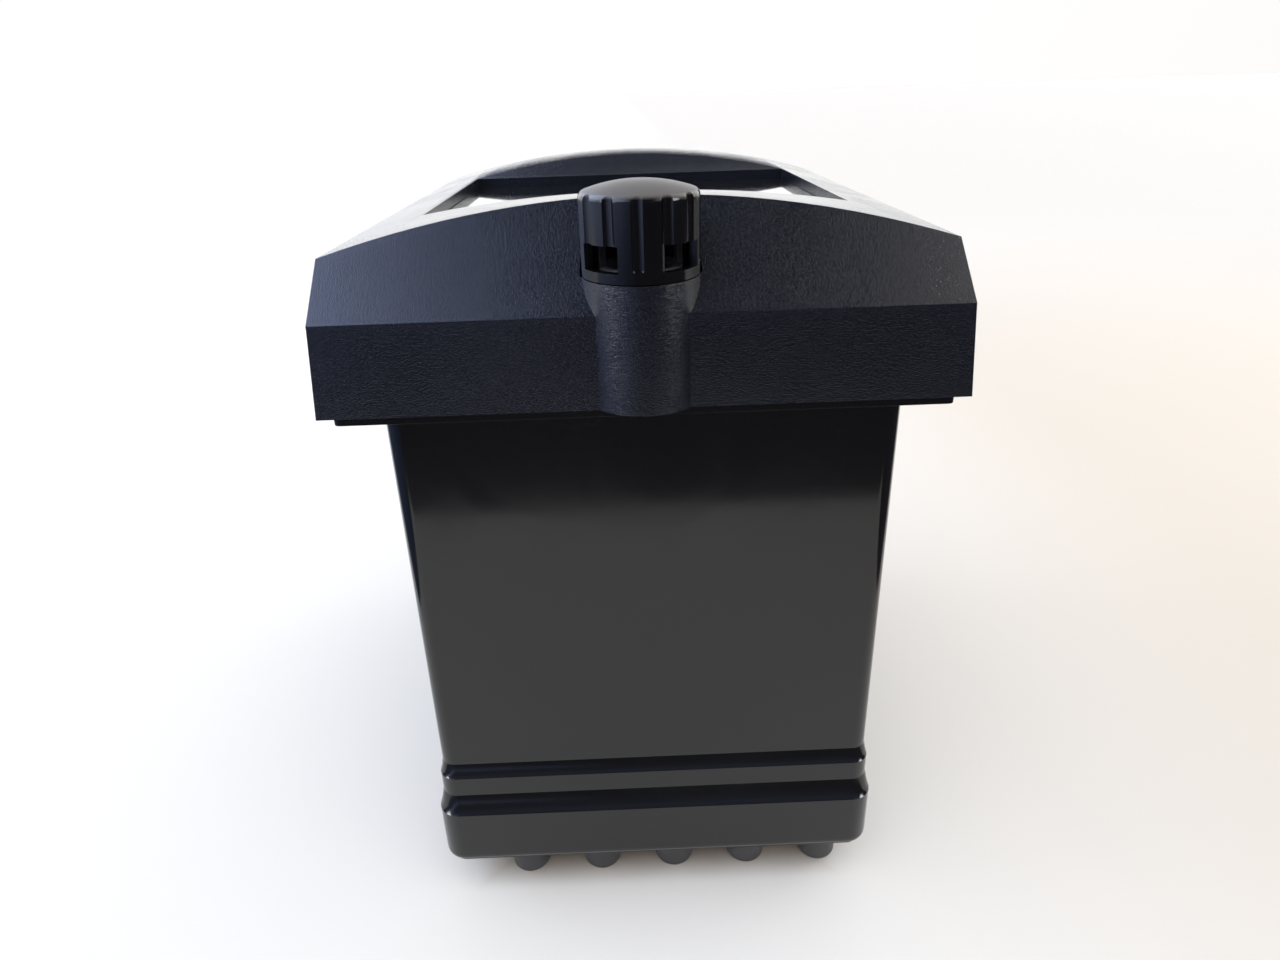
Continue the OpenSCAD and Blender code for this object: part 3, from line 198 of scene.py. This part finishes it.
# %% The room that mirror rays see
ceiling = mix_colour(tree, ramp(tree, across, -0.62, -0.16), scaled(BLUE, 9.0), scaled(BLUE, 0.12))
ceiling = mix_colour(tree, ramp(tree, across, 0.34, 0.62), ceiling, scaled(WARM, 3.8))
left_room = mix_colour(tree, ramp(tree, up, -0.50, -0.10), DIM_BLUE, scaled(BLUE, 2.0))
front_room = mix_colour(tree, ramp(tree, up, -0.12, 0.30), DARK, scaled(BLUE, 0.40))
front_room = mix_colour(tree, ramp(tree, across, -0.95, -0.45), left_room, front_room)
back_wall = mix_colour(tree, ramp(tree, up, -0.12, 0.02), DARK, scaled(WHITE, 2.2))
walls = mix_colour(tree, to_front, back_wall, front_room)
mirrored = mix_colour(tree, ramp(tree, up, 0.20, 0.52), walls, ceiling)
WINDOW_SIDE, WINDOW_ALONG, WINDOW_UP = 0.86, -0.42, 0.28
COS_EDGE, COS_FULL = 0.955, 0.980
for side in (-WINDOW_SIDE, WINDOW_SIDE):
    window = Vector((side, WINDOW_ALONG, WINDOW_UP)).normalized()
    facing = add(tree, "ShaderNodeVectorMath", operation="DOT_PRODUCT", i0=look, i1=window).outputs["Value"]
    mirrored = mix_colour(tree, ramp(tree, facing, COS_EDGE, COS_FULL), mirrored, scaled(WHITE, 14.0))
print("windows are", round(2 * math.degrees(math.acos(COS_EDGE))), "degrees wide")

# %% [markdown]
# Soft light needs no detail. It comes mainly from the front, cooler on the left, and little of it from
# above, so that the floor is bright and shaded softly. The camera itself sees a plain white studio. The
# Light Path node tells the three kinds of ray apart.

# %% Soft light, and what the camera sees
soft_room = mix_colour(tree, ramp(tree, across, -0.8, 0.8), (2.16, 2.24, 2.40), (2.10, 2.03, 1.94))
soft_room = mix_colour(tree, ramp(tree, up, 0.42, 0.85), (0.34, 0.30, 0.26), soft_room)
spread = mix_colour(tree, to_front, scaled(WHITE, 0.86), soft_room)
seen = mix_colour(tree, ramp(tree, across, 0.15, 0.7), scaled(WHITE, 1.02), (0.985, 0.975, 0.96))
path = add(tree, "ShaderNodeLightPath")
colour = mix_colour(tree, path.outputs["Is Glossy Ray"], spread, mirrored)
colour = mix_colour(tree, path.outputs["Is Camera Ray"], colour, seen)
add(tree, "ShaderNodeOutputWorld", Surface=add(tree, "ShaderNodeBackground", Color=colour).outputs[0])
print("world nodes:", len(tree.nodes))

# %% [markdown]
# ## Soft lights
# Two large lamps stand for the windows beside the filter. Sun lamps would give hard shadows; area lamps are
# wide, so their shadows are soft and they draw light lines along the rounded edges.

# %% Soft lights
LAMP_TARGET, LAMP_SIZE = Vector((0.0, 0.0, 0.2)), 0.9


def soft_light(name, place, watts, colour):
    """Square area light at a place, aimed at the middle of the filter."""
    lamp = bpy.data.lights.new(name, "AREA")
    lamp.size, lamp.energy, lamp.color = LAMP_SIZE, watts, colour
    item = bpy.data.objects.new(name, lamp)
    scene.collection.objects.link(item)
    item.location = place
    item.rotation_euler = (LAMP_TARGET - Vector(place)).to_track_quat("-Z", "Y").to_euler()


soft_light("window_left", (-1.7, 0.2, 1.0), watts=7, colour=(0.75, 0.86, 1.0))
soft_light("room_right", (1.7, 0.4, 1.1), watts=5, colour=(1.0, 0.96, 0.90))

# %% [markdown]
# ## Shared surface effects
# Grain, scuffs, dust and smudges are on many pieces. Each one is a node group, built once and placed in
# every material that needs it with its own values. A group gives a mask or a height only, and the material
# decides what to do with it. All read Object coordinates, so they stay on the surface when a piece moves.


# %% Start and end of a node group
def effect_group(name, inputs, output):
    """Starts a node group with float inputs and one float output. Returns it, its inputs and the place."""
    group = bpy.data.node_groups.new(name, "ShaderNodeTree")
    for title, value in inputs.items():
        socket = group.interface.new_socket(title, in_out="INPUT", socket_type="NodeSocketFloat")
        socket.default_value = value
    group.interface.new_socket(output, in_out="OUTPUT", socket_type="NodeSocketFloat")
    entry = group.nodes.new("NodeGroupInput")
    return group, entry, add(group, "ShaderNodeTexCoord").outputs["Object"]


def close_group(group, value):
    """Ends a node group with its result."""
    leave = group.nodes.new("NodeGroupOutput")
    group.links.new(value, leave.inputs[0])
    print("group:", group.name, len(group.nodes), "nodes")


print("group helpers ready")

# %% [markdown]
# The hood's moulded grain is a field of small rounded pebbles. A Voronoi texture gives the cells. Its place
# is shifted by a little noise first, because even cells look printed.

# %% Pebble grain
group, entry, place = effect_group("pebble_grain", {"Scale": 900.0}, "Height")
wobble = cloudy(group, place, 700.0, 2.0, "Color")
shift = add(group, "ShaderNodeVectorMath", operation="SCALE", i0=wobble, Scale=0.0007)
bent = add(group, "ShaderNodeVectorMath", operation="ADD", i0=place, i1=shift.outputs[0]).outputs[0]
cells = add(group, "ShaderNodeTexVoronoi", feature="SMOOTH_F1", Vector=bent, Scale=entry.outputs["Scale"],
    Smoothness=0.6).outputs["Distance"]
close_group(group, ramp(group, cells, 0.15, 0.75, 1.0, 0.0))

# %% [markdown]
# Scuffs are thin pale lines in patches, from handling. Here they are the edges of long stretched cells, kept
# only where a broad noise is high.

# %% Scuffs
group, entry, place = effect_group("scuffs", {"Amount": 0.5, "Scale": 40.0}, "Mask")
warp = cloudy(group, place, 9.0, 3.0, "Color")
turned = add(group, "ShaderNodeMapping", Vector=place, Rotation=(0.5, 0.7, 0.9), Scale=(1.0, 14.0, 3.0))
warped = add(group, "ShaderNodeVectorMath", operation="MULTIPLY_ADD", i0=warp, i1=(0.05, 0.05, 0.05),
    i2=turned.outputs[0]).outputs[0]
lines = add(group, "ShaderNodeTexVoronoi", feature="DISTANCE_TO_EDGE", Vector=warped,
    Scale=entry.outputs["Scale"]).outputs["Distance"]
patches = ramp(group, cloudy(group, place, 22.0, 2.0), 0.52, 0.72)
thin = maths(group, "MULTIPLY", ramp(group, lines, 0.0, 0.012, 1.0, 0.0), patches)
close_group(group, maths(group, "MULTIPLY", thin, entry.outputs["Amount"]))

# %% [markdown]
# Dust is fine specks, thicker in some clouds than in others.

# %% Dust
group, entry, place = effect_group("dust", {"Amount": 0.5}, "Mask")
specks = ramp(group, cloudy(group, place, 900.0, 3.0, Roughness=0.7), 0.58, 0.74)
dusty = maths(group, "MULTIPLY", specks, ramp(group, cloudy(group, place, 14.0, 4.0), 0.40, 0.72))
close_group(group, maths(group, "MULTIPLY", dusty, entry.outputs["Amount"]))

# %% [markdown]
# Smudges from hands change the gloss and not the colour. One distorted noise is enough.

# %% Smudges
group, entry, place = effect_group("smudges", {"Amount": 0.5, "Scale": 18.0}, "Mask")
broad = ramp(group, cloudy(group, place, entry.outputs["Scale"], 5.0, Distortion=0.8), 0.38, 0.70)
close_group(group, maths(group, "MULTIPLY", broad, entry.outputs["Amount"]))

# %% [markdown]
# ## Material makers
# Every material starts as one Principled shader, may place the shared groups, and takes its relief from Bump
# nodes. Three small functions do this, and each distance of relief is a real height in metres.


# %% Start of a material
def start_material(name):
    """New material with a Principled shader."""
    made = bpy.data.materials.new(name)
    made.use_nodes = True
    tree = made.node_tree
    tree.nodes.clear()
    shader = tree.nodes.new("ShaderNodeBsdfPrincipled")
    add(tree, "ShaderNodeOutputMaterial", Surface=shader.outputs[0])
    return made, tree, shader


def effect(tree, name, **values):
    """Places one of the shared groups with its own values, and returns its result."""
    node = tree.nodes.new("ShaderNodeGroup")
    node.node_tree = bpy.data.node_groups[name]
    for key, value in values.items():
        node.inputs[key].default_value = value
    return node.outputs[0]


def bump(tree, height, distance, below=None):
    """Bump node; distance is the height of the relief in metres, below the normal of a coarser relief."""
    node = add(tree, "ShaderNodeBump", Height=height, Distance=distance, Strength=1.0)
    if below is not None:
        feed(tree, node, Normal=below)
    return node.outputs[0]


print("material helpers ready")

# %% [markdown]
# Nearly all of the filter is injection-moulded. Such plastic isn't one flat colour: it drifts a little, its
# surface has a faint ripple or a grain, and dust and scuffs lie on it. One function makes all of these from
# the shared groups, so that each plastic is only a list of its own values. What is the same all over, such
# as the index of refraction, is set on the shader's own socket.


# %% Moulded plastic and rubber
def moulded(name, colour, pale, rough, grain=0.0, grain_scale=900.0, smudge=0.05, dust=0.3, scuff=0.35,
            peel=0.00002, ior=1.5, fleck=0.0):
    """Colour drifts a little; dust, scuffs and worn grain turn it pale; smudges and marks dull it."""
    made, tree, shader = start_material(name)
    where = add(tree, "ShaderNodeTexCoord").outputs["Object"]
    drift = ramp(tree, cloudy(tree, where, 7.0, 3.0), 0.3, 0.7)
    base = mix_colour(tree, drift, colour, scaled(colour, 1.25))
    if fleck:
        worn = ramp(tree, cloudy(tree, where, 1500.0, 1.0), 0.50, 0.68, 0.0, fleck)
        base = mix_colour(tree, worn, base, pale)
    scuffed, dusty = effect(tree, "scuffs", Amount=scuff), effect(tree, "dust", Amount=dust)
    marks = maths(tree, "ADD", scuffed, dusty, clamp=True)
    hazy = maths(tree, "ADD", effect(tree, "smudges", Amount=smudge), rough)
    normal = bump(tree, cloudy(tree, where, 120.0, 2.0), peel)
    if grain:
        normal = bump(tree, effect(tree, "pebble_grain", Scale=grain_scale), grain, normal)
    feed(tree, shader, Base_Color=mix_colour(tree, marks, base, pale), Normal=normal,
        Roughness=maths(tree, "MULTIPLY_ADD", marks, 0.25, hazy, clamp=True))
    shader.inputs["IOR"].default_value = ior
    return made


print("plastic maker ready")

# %% [markdown]
# ## Floor
# The filter stands on a plain pale floor. One wide plane, a grid of a single face, is enough for it: it has
# no visible end from any side.

# %% Floor plane
FLOOR_HALF = 60.0
floor_mesh = bpy.data.meshes.new("floor_sheet")
shape = bmesh.new()
bmesh.ops.create_grid(shape, x_segments=1, y_segments=1, size=FLOOR_HALF)
shape.to_mesh(floor_mesh)
shape.free()
floor = bpy.data.objects.new("floor_sheet", floor_mesh)
scene.collection.objects.link(floor)
print("floor:", 2 * FLOOR_HALF, "m wide")

# %% [markdown]
# The paper on the floor has faint clouds and fine fibres, and two shades are painted on it: a painted warm
# shade, darker and warmer, towards the right, and a painted brownish shade under the filter. Light alone
# leaves that shade grey, so the painted shade is a box test around the base plate: the larger of the
# distances past its side and past its end.

# %% Floor paper
SHADE_INSET, SHADE_FULL, SHADE_ENDS = 0.012, -0.026, 0.004
made, tree, shader = start_material("floor_paper")
where = add(tree, "ShaderNodeTexCoord").outputs["Object"]
place = add(tree, "ShaderNodeSeparateXYZ", Vector=where).outputs
to_right, nearby = ramp(tree, place["X"], 0.0, 0.60), ramp(tree, place["Y"], 0.4, 2.0, 1.0, 0.35)
# painted warm shade: the paper is darker and warmer towards the right, and less so towards the back
painted_warm_shade = maths(tree, "MULTIPLY", to_right, nearby)
paper = mix_colour(tree, painted_warm_shade, scaled(WHITE, 0.88), (0.73, 0.68, 0.62))
plate_low, plate_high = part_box("base_plate")
plate_middle = (plate_low[1] + plate_high[1]) / 2
from_side = maths(tree, "ABSOLUTE", place["X"])
past_plate = maths(tree, "SUBTRACT", from_side, plate_high[0] - SHADE_INSET)
from_middle = maths(tree, "ABSOLUTE", maths(tree, "SUBTRACT", place["Y"], plate_middle))
past_end = maths(tree, "SUBTRACT", from_middle, plate_high[1] - plate_middle)
# painted shade: the paper is brownish and darker under the base plate, where the filter shades the floor
shade = ramp(tree, maths(tree, "MAXIMUM", past_plate, past_end), SHADE_FULL, SHADE_ENDS, 1.0, 0.0)
paper = mix_colour(tree, shade, paper, (0.50, 0.42, 0.34))
clouds = ramp(tree, cloudy(tree, where, 3.0, 3.0), 0.3, 0.7, 0.0, 0.03)
fibres = cloudy(tree, where, 1800.0, 3.0)
feed(tree, shader, Base_Color=mix_colour(tree, clouds, paper, scaled(WHITE, 0.7)),
    Normal=bump(tree, fibres, 0.00002), Roughness=ramp(tree, fibres, 0.3, 0.7, 0.65, 0.8))
shader.inputs["Specular IOR Level"].default_value = 0.1
floor_mesh.materials.append(made)
print("shade ends", round(plate_high[0] - SHADE_INSET + SHADE_ENDS, 3), "m from the middle")

# %% [markdown]
# Glossy black plastic mirrors the floor, and a real sheet of paper ends somewhere. The plane could end there
# too, but its edge would show from other sides. Instead, past an outline in front of and beside the filter,
# the floor glows for mirror rays alone: a painted reflection of a dim room, bluish towards the left. The
# outline widens towards the back, where the sheet goes on.

# %% Edge of the sheet for mirror rays
SHEET_FRONT, SHEET_SIDE, WIDENS_FROM = -0.665, 0.42, -0.16
widening = maths(tree, "MAXIMUM", maths(tree, "SUBTRACT", place["Y"], WIDENS_FROM), 0.0)
past_side = maths(tree, "SUBTRACT", maths(tree, "SUBTRACT", from_side, SHEET_SIDE), widening)
past_front = maths(tree, "SUBTRACT", SHEET_FRONT, place["Y"])
past_edge = maths(tree, "GREATER_THAN", maths(tree, "MAXIMUM", past_side, past_front), 0.0)
mirror_only = maths(tree, "MULTIPLY", past_edge, add(tree, "ShaderNodeLightPath").outputs["Is Glossy Ray"])
far_left = mix_colour(tree, ramp(tree, place["X"], -3.0, -0.5), scaled(BLUE, 2.0), DIM_BLUE)
dim_room = mix_colour(tree, ramp(tree, place["X"], -0.60, -0.35), far_left, DARK)
# painted reflection: this glow is what mirror rays see past the sheet's edge
painted_reflection = add(tree, "ShaderNodeEmission", Color=dim_room)
both = add(tree, "ShaderNodeMixShader", i0=mirror_only, i1=shader.outputs[0], i2=painted_reflection.outputs[0])
leave = next(node for node in tree.nodes if node.type == "OUTPUT_MATERIAL")
feed(tree, leave, Surface=both.outputs[0])
print("sheet ends at", SHEET_FRONT, "m in front")

# %% [markdown]
# ## Plastics and rubbers
# The hood is grained and satin, the tub and the panel in the recess are polished, the knob lies between, and
# the baskets inside are plain satin. Feet and seals are dark rubber. The pump has a white impeller and a
# ferrite magnet, and the rings are ceramic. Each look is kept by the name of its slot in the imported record.

# %% Plastic and rubber materials
LOOKS = {
    "grained_hood": moulded("hood_grain", (0.0026, 0.0036, 0.0080), (0.06, 0.06, 0.07), 0.22,
        grain=0.00006, grain_scale=1800.0, fleck=0.12, smudge=0.05, dust=0.4, scuff=0.03),
    "tub_plastic": moulded("tub_satin", (0.0036, 0.0036, 0.0040), (0.05, 0.05, 0.05), 0.10,
        smudge=0.05, dust=0.3, scuff=0.15, peel=0.000008),
    "panel_gloss": moulded("panel_gloss", (0.006, 0.006, 0.007), (0.10, 0.10, 0.10), 0.05,
        smudge=0.02, dust=0.2, scuff=0.1, peel=0.000002, ior=1.8),
    "knob_gloss": moulded("knob_gloss", (0.0030, 0.0030, 0.0042), (0.08, 0.08, 0.08), 0.13,
        smudge=0.06, dust=0.15, scuff=0.05, peel=0.00001, ior=1.34),
    "core_plastic": moulded("core_matt", (0.005, 0.005, 0.006), (0.02, 0.02, 0.02), 0.6, ior=1.4),
    "basket_plastic": moulded("basket_satin", (0.022, 0.023, 0.024), (0.10, 0.10, 0.10), 0.38,
        grain=0.00004, grain_scale=1600.0),
    "foot_rubber": moulded("foot_rubber", (0.042, 0.042, 0.044), (0.20, 0.19, 0.17), 0.55,
        grain=0.00005, grain_scale=2200.0, dust=0.8),
    "seal_rubber": moulded("seal_rubber", (0.014, 0.014, 0.014), (0.10, 0.10, 0.10), 0.5,
        grain=0.00002, grain_scale=2600.0),
    "impeller_plastic": moulded("white_acetal", (0.62, 0.61, 0.57), (0.75, 0.74, 0.70), 0.35, dust=0.1),
    "magnet_ferrite": moulded("ferrite", (0.030, 0.030, 0.033), (0.12, 0.12, 0.12), 0.55,
        grain=0.00003, grain_scale=3000.0),
    "ceramic_media": moulded("ceramic", (0.55, 0.50, 0.42), (0.80, 0.77, 0.70), 0.85,
        grain=0.0002, grain_scale=1300.0),
}
print("materials:", sorted(LOOKS))

# %% [markdown]
# The dome of the knob is textured and looks matt, while its fluted side is glossy. Both are one piece, so
# the height is the mask: from the foot of the dome upwards, the surface is rougher, and a pale grey is
# painted on it as a painted sheen in place of the highlight on its top. The two heights where this starts
# and where it is full are measured down from the knob's top.

# %% Matt dome of the knob, with a painted sheen
DOME_STARTS, DOME_FULL = 0.0052, 0.0036
DOME_PAINTED_SHEEN, DOME_ROUGHER = (0.130, 0.124, 0.118), 0.30
made = LOOKS["knob_gloss"]
tree = made.node_tree
shader = next(node for node in tree.nodes if node.type == "BSDF_PRINCIPLED")
where = add(tree, "ShaderNodeTexCoord").outputs["Object"]
height = add(tree, "ShaderNodeSeparateXYZ", Vector=where).outputs["Z"]
top_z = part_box("vent_knob")[1][2]
on_dome = ramp(tree, height, top_z - DOME_STARTS, top_z - DOME_FULL)
glossy = shader.inputs["Roughness"].links[0].from_socket
plain = shader.inputs["Base Color"].links[0].from_socket
# painted sheen: the dome's black base colour is raised to pale grey, standing in for its highlight
feed(tree, shader, Base_Color=mix_colour(tree, on_dome, plain, DOME_PAINTED_SHEEN),
    Roughness=maths(tree, "MULTIPLY_ADD", on_dome, DOME_ROUGHER, glossy, clamp=True))
print("dome from", round(top_z - DOME_STARTS, 4), "m")

# %% [markdown]
# ## Metals
# The motor's core is a stack of thin steel sheets, its coils are turns of copper wire, and the screws are
# turned steel. All show fine parallel lines. Lines this small would need far too many faces, so a Wave
# texture draws them in colour and relief.


# %% Metal materials
def striped(name, colour, second, rough, scale, axis, depth):
    """Metal with fine parallel lines across an axis."""
    made, tree, shader = start_material(name)
    where = add(tree, "ShaderNodeTexCoord").outputs["Object"]
    wave = add(tree, "ShaderNodeTexWave", bands_direction=axis, Vector=where, Scale=scale, Distortion=0.4)
    lines = wave.outputs["Fac"]
    worn = ramp(tree, cloudy(tree, where, 240.0, 3.0), 0.2, 0.8, rough - 0.08, rough + 0.08)
    feed(tree, shader, Base_Color=mix_colour(tree, lines, second, colour), Roughness=worn,
        Normal=bump(tree, lines, depth))
    shader.inputs["Metallic"].default_value = 1.0
    return made


METALS = {
    "steel": striped("screw_steel", (0.62, 0.62, 0.63), (0.50, 0.50, 0.51), 0.28,
        scale=900.0, axis="X", depth=0.00001),
    "core_steel": striped("lamination_steel", (0.42, 0.42, 0.43), (0.18, 0.18, 0.19), 0.4,
        scale=300.0, axis="Z", depth=0.0001),
    "coil_copper": striped("copper_wire", (0.62, 0.30, 0.14), (0.25, 0.10, 0.05), 0.3,
        scale=320.0, axis="Z", depth=0.0002),
}
LOOKS.update(METALS)
print("metals:", sorted(METALS))

# %% [markdown]
# ## Foam and floss
# The sponge and the prefilter are open-celled foam: thin struts around pores, which are the edges of
# Voronoi cells. The fine pad is matted fibre: noise that is bent by a coarser noise. Both get a painted
# shade where they are deep: a darker colour in the pores and between the fibres.


# %% Foam and floss materials
def soft_look(name, colour, painted_pore_shade, scale, depth, fibres):
    """Open foam, or fibre floss; colour is that of the top, and the third argument is the darker colour
    painted into the pores and gaps as shade.
    """
    made, tree, shader = start_material(name)
    where = add(tree, "ShaderNodeTexCoord").outputs["Object"]
    if fibres:
        swirl = cloudy(tree, where, 60.0, 3.0, "Color")
        bent = add(tree, "ShaderNodeVectorMath", operation="MULTIPLY_ADD", i0=swirl, i1=(0.02, 0.02, 0.02),
            i2=where)
        height = ramp(tree, cloudy(tree, bent.outputs[0], scale, 6.0, Roughness=0.75), 0.3, 0.7)
    else:
        cells = add(tree, "ShaderNodeTexVoronoi", feature="DISTANCE_TO_EDGE", Vector=where, Scale=scale)
        height = ramp(tree, cells.outputs["Distance"], 0.02, 0.25, 1.0, 0.0)
    # painted shade: where the height is low, the colour darkens to that of the pores
    feed(tree, shader, Base_Color=mix_colour(tree, height, painted_pore_shade, colour), Normal=bump(tree, height, depth),
        Roughness=ramp(tree, height, 0.0, 1.0, 0.95, 0.8))
    return made


LOOKS["blue_foam"] = soft_look("blue_foam", (0.055, 0.16, 0.34), (0.008, 0.025, 0.07),
    scale=420.0, depth=0.0012, fibres=False)
LOOKS["white_floss"] = soft_look("white_floss", (0.86, 0.86, 0.83), (0.45, 0.45, 0.43),
    scale=500.0, depth=0.0010, fibres=True)
print("soft looks:", LOOKS["blue_foam"].name, LOOKS["white_floss"].name)

# %% [markdown]
# The CAD keeps a plain solid for each soft piece. Bump alone would leave its outline hard, so each one gets
# new faces: a voxel remesh lays an even skin over the solid, smoothing wears the edges round, and every
# point is then pressed inwards by a pattern of pores or fibres. Nothing moves outwards, so the piece stays
# in its box.

# %% Foam maker
WELD = 0.000002


def skin(node, name, voxel):
    """A new object with an even skin of faces over the shape of a CAD node."""
    shell = bmesh.new()
    shell.from_mesh(NODES[node].data)
    bmesh.ops.remove_doubles(shell, verts=shell.verts, dist=WELD)
    mesh = bpy.data.meshes.new(name)
    shell.to_mesh(mesh)
    shell.free()
    item = bpy.data.objects.new(name, mesh)
    scene.collection.objects.link(item)
    even = item.modifiers.new("even", "REMESH")
    even.mode, even.voxel_size, even.adaptivity = "VOXEL", voxel, 0.0
    bpy.context.view_layer.update()
    evened = item.evaluated_get(bpy.context.evaluated_depsgraph_get())
    item.data = bpy.data.meshes.new_from_object(evened)
    item.modifiers.clear()
    return item


def press(item, depth_at, rounds=4):
    """Rounds the edges by smoothing, then moves each point inwards by depth_at(point, normal)."""
    shape = bmesh.new()
    shape.from_mesh(item.data)
    for _ in range(rounds):
        bmesh.ops.smooth_vert(shape, verts=shape.verts, factor=0.5, use_axis_x=True, use_axis_y=True,
            use_axis_z=True)
    shape.normal_update()
    moves = [(vert, vert.normal * depth_at(vert.co, vert.normal)) for vert in shape.verts]
    for vert, move in moves:
        vert.co -= move
    bmesh.ops.recalc_face_normals(shape, faces=shape.faces)
    shape.to_mesh(item.data)
    shape.free()
    item.data.shade_smooth()


def stand_for(item, node, look):
    """The new piece takes the node's place, body and slot."""
    item.data.materials.clear()
    item.data.materials.append(LOOKS[look])
    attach(item, body_of(NODES[node])[0])
    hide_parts(node)
    print(item.name, len(item.data.vertices), "points")


# %% [markdown]
# The coarse sponge has large open cells, and the prefilter smaller ones. The pits come from a cellular noise
# that is deepest at the middle of each cell, with a slow wave added so that the block isn't perfectly flat.

# %% Coarse sponge and prefilter foam
WAVE_DEPTH, WAVES_PER_M = 0.0003, 40.0


def open_cells(size, depth):
    """Pits of open foam with cells of a size."""
    def at(point, normal):
        from_cell = noise.voronoi(point / size)[0][0]
        pit = max(0.0, 1.0 - from_cell * 1.7)
        return depth * pit + WAVE_DEPTH * (1.0 + noise.noise(point * WAVES_PER_M))
    return at


coarse = skin("coarse_sponge", "coarse_sponge_foam", voxel=0.0024)
press(coarse, open_cells(size=0.007, depth=0.0022))
stand_for(coarse, "coarse_sponge", "blue_foam")
prefilter = skin("prefilter_foam", "prefilter_open_foam", voxel=0.0020)
press(prefilter, open_cells(size=0.005, depth=0.0014), rounds=3)
stand_for(prefilter, "prefilter_foam", "blue_foam")

# %% [markdown]
# The fine pad is a stack of soft floss sheets. Each sheet is crowned, so a groove runs round between two
# sheets: a steep power of the height within the sheet is near 0 in its middle and 1 at both its faces.

# %% Fine pad of stacked floss
SHEETS, GROOVE_DEPTH, FIBRE_DEPTH = 4, 0.0028, 0.0012
pad_low, pad_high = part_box("fine_pad")
sheet_h = (pad_high[2] - pad_low[2]) / SHEETS


def floss(point, normal):
    """Grooves between the sheets and loose waves of fibre."""
    level = (point.z - pad_low[2]) / sheet_h
    from_middle = 2.0 * (level - math.floor(level)) - 1.0
    groove = from_middle ** 4 * (1.0 - abs(normal.z))
    wave = 0.5 + 0.5 * noise.fractal(point * 90.0, 0.6, 2.2, 4)
    return GROOVE_DEPTH * groove + FIBRE_DEPTH * max(0.0, min(1.0, wave))


pad = skin("fine_pad", "fine_pad_floss", voxel=0.0024)
press(pad, floss)
stand_for(pad, "fine_pad", "white_floss")

# %% [markdown]
# ## Dress the CAD nodes
# Each node of the CAD model gets the look of its slot. Its mesh is left as it came.

# %% Materials of the CAD nodes
for node, part in SUBPARTS.items():
    item = NODES[node]
    item.data.materials.clear()
    item.data.materials.append(LOOKS[part["material_slot"]])
print("dressed:", len(SUBPARTS))

# %% [markdown]
# Real moulded parts have no razor edges. The meshes are loose triangles, so the modifiers first weld their
# corners and dissolve the lines that cross flat faces. Then a Bevel rounds every sharp edge, so that it
# catches the light, and weighted normals keep the flat faces flat. Widths follow the size of the piece. The
# tub's shoulders are soft curves, so its bevel also takes edges that turn only a little.


# %% Rounded edges
def soften(node, width, angle=28.0):
    """Rounds the edges of a CAD node that turn by more than angle, in degrees, with modifiers."""
    item = NODES[node]
    if "custom_normal" in item.data.attributes:
        item.data.attributes.remove(item.data.attributes["custom_normal"])
    join = item.modifiers.new("join", "WELD")
    join.merge_threshold = WELD
    flat = item.modifiers.new("flat", "DECIMATE")
    flat.decimate_type = "DISSOLVE"
    flat.angle_limit = math.radians(0.4)
    edge = item.modifiers.new("edge", "BEVEL")
    edge.width, edge.segments, edge.limit_method = width, 3, "ANGLE"
    edge.angle_limit = math.radians(angle)
    edge.harden_normals = False
    edge.use_clamp_overlap = True
    item.data.shade_smooth()
    even = item.modifiers.new("even", "WEIGHTED_NORMAL")
    even.keep_sharp = False


ROUNDING = {
    0.0003: ("recess_panel", "vent_core", "cable_gland", "gland_nut"),
    0.0004: ("base_plate", "left_lock_bar", "right_lock_bar", "inlet_hose_nut", "outlet_hose_nut",
        "upper_basket", "middle_basket", "lower_basket", "pump_cover", "divider_wall"),
    0.0005: ("lid_pan", "vent_knob"),
    0.0008: ("inlet_lever", "outlet_lever"),
    0.0009: ("hood",),
}
for width, nodes in ROUNDING.items():
    for node in nodes:
        soften(node, width)
soften("canister_tub", 0.0020, angle=14.0)
print("rounded:", 1 + sum(len(nodes) for nodes in ROUNDING.values()))
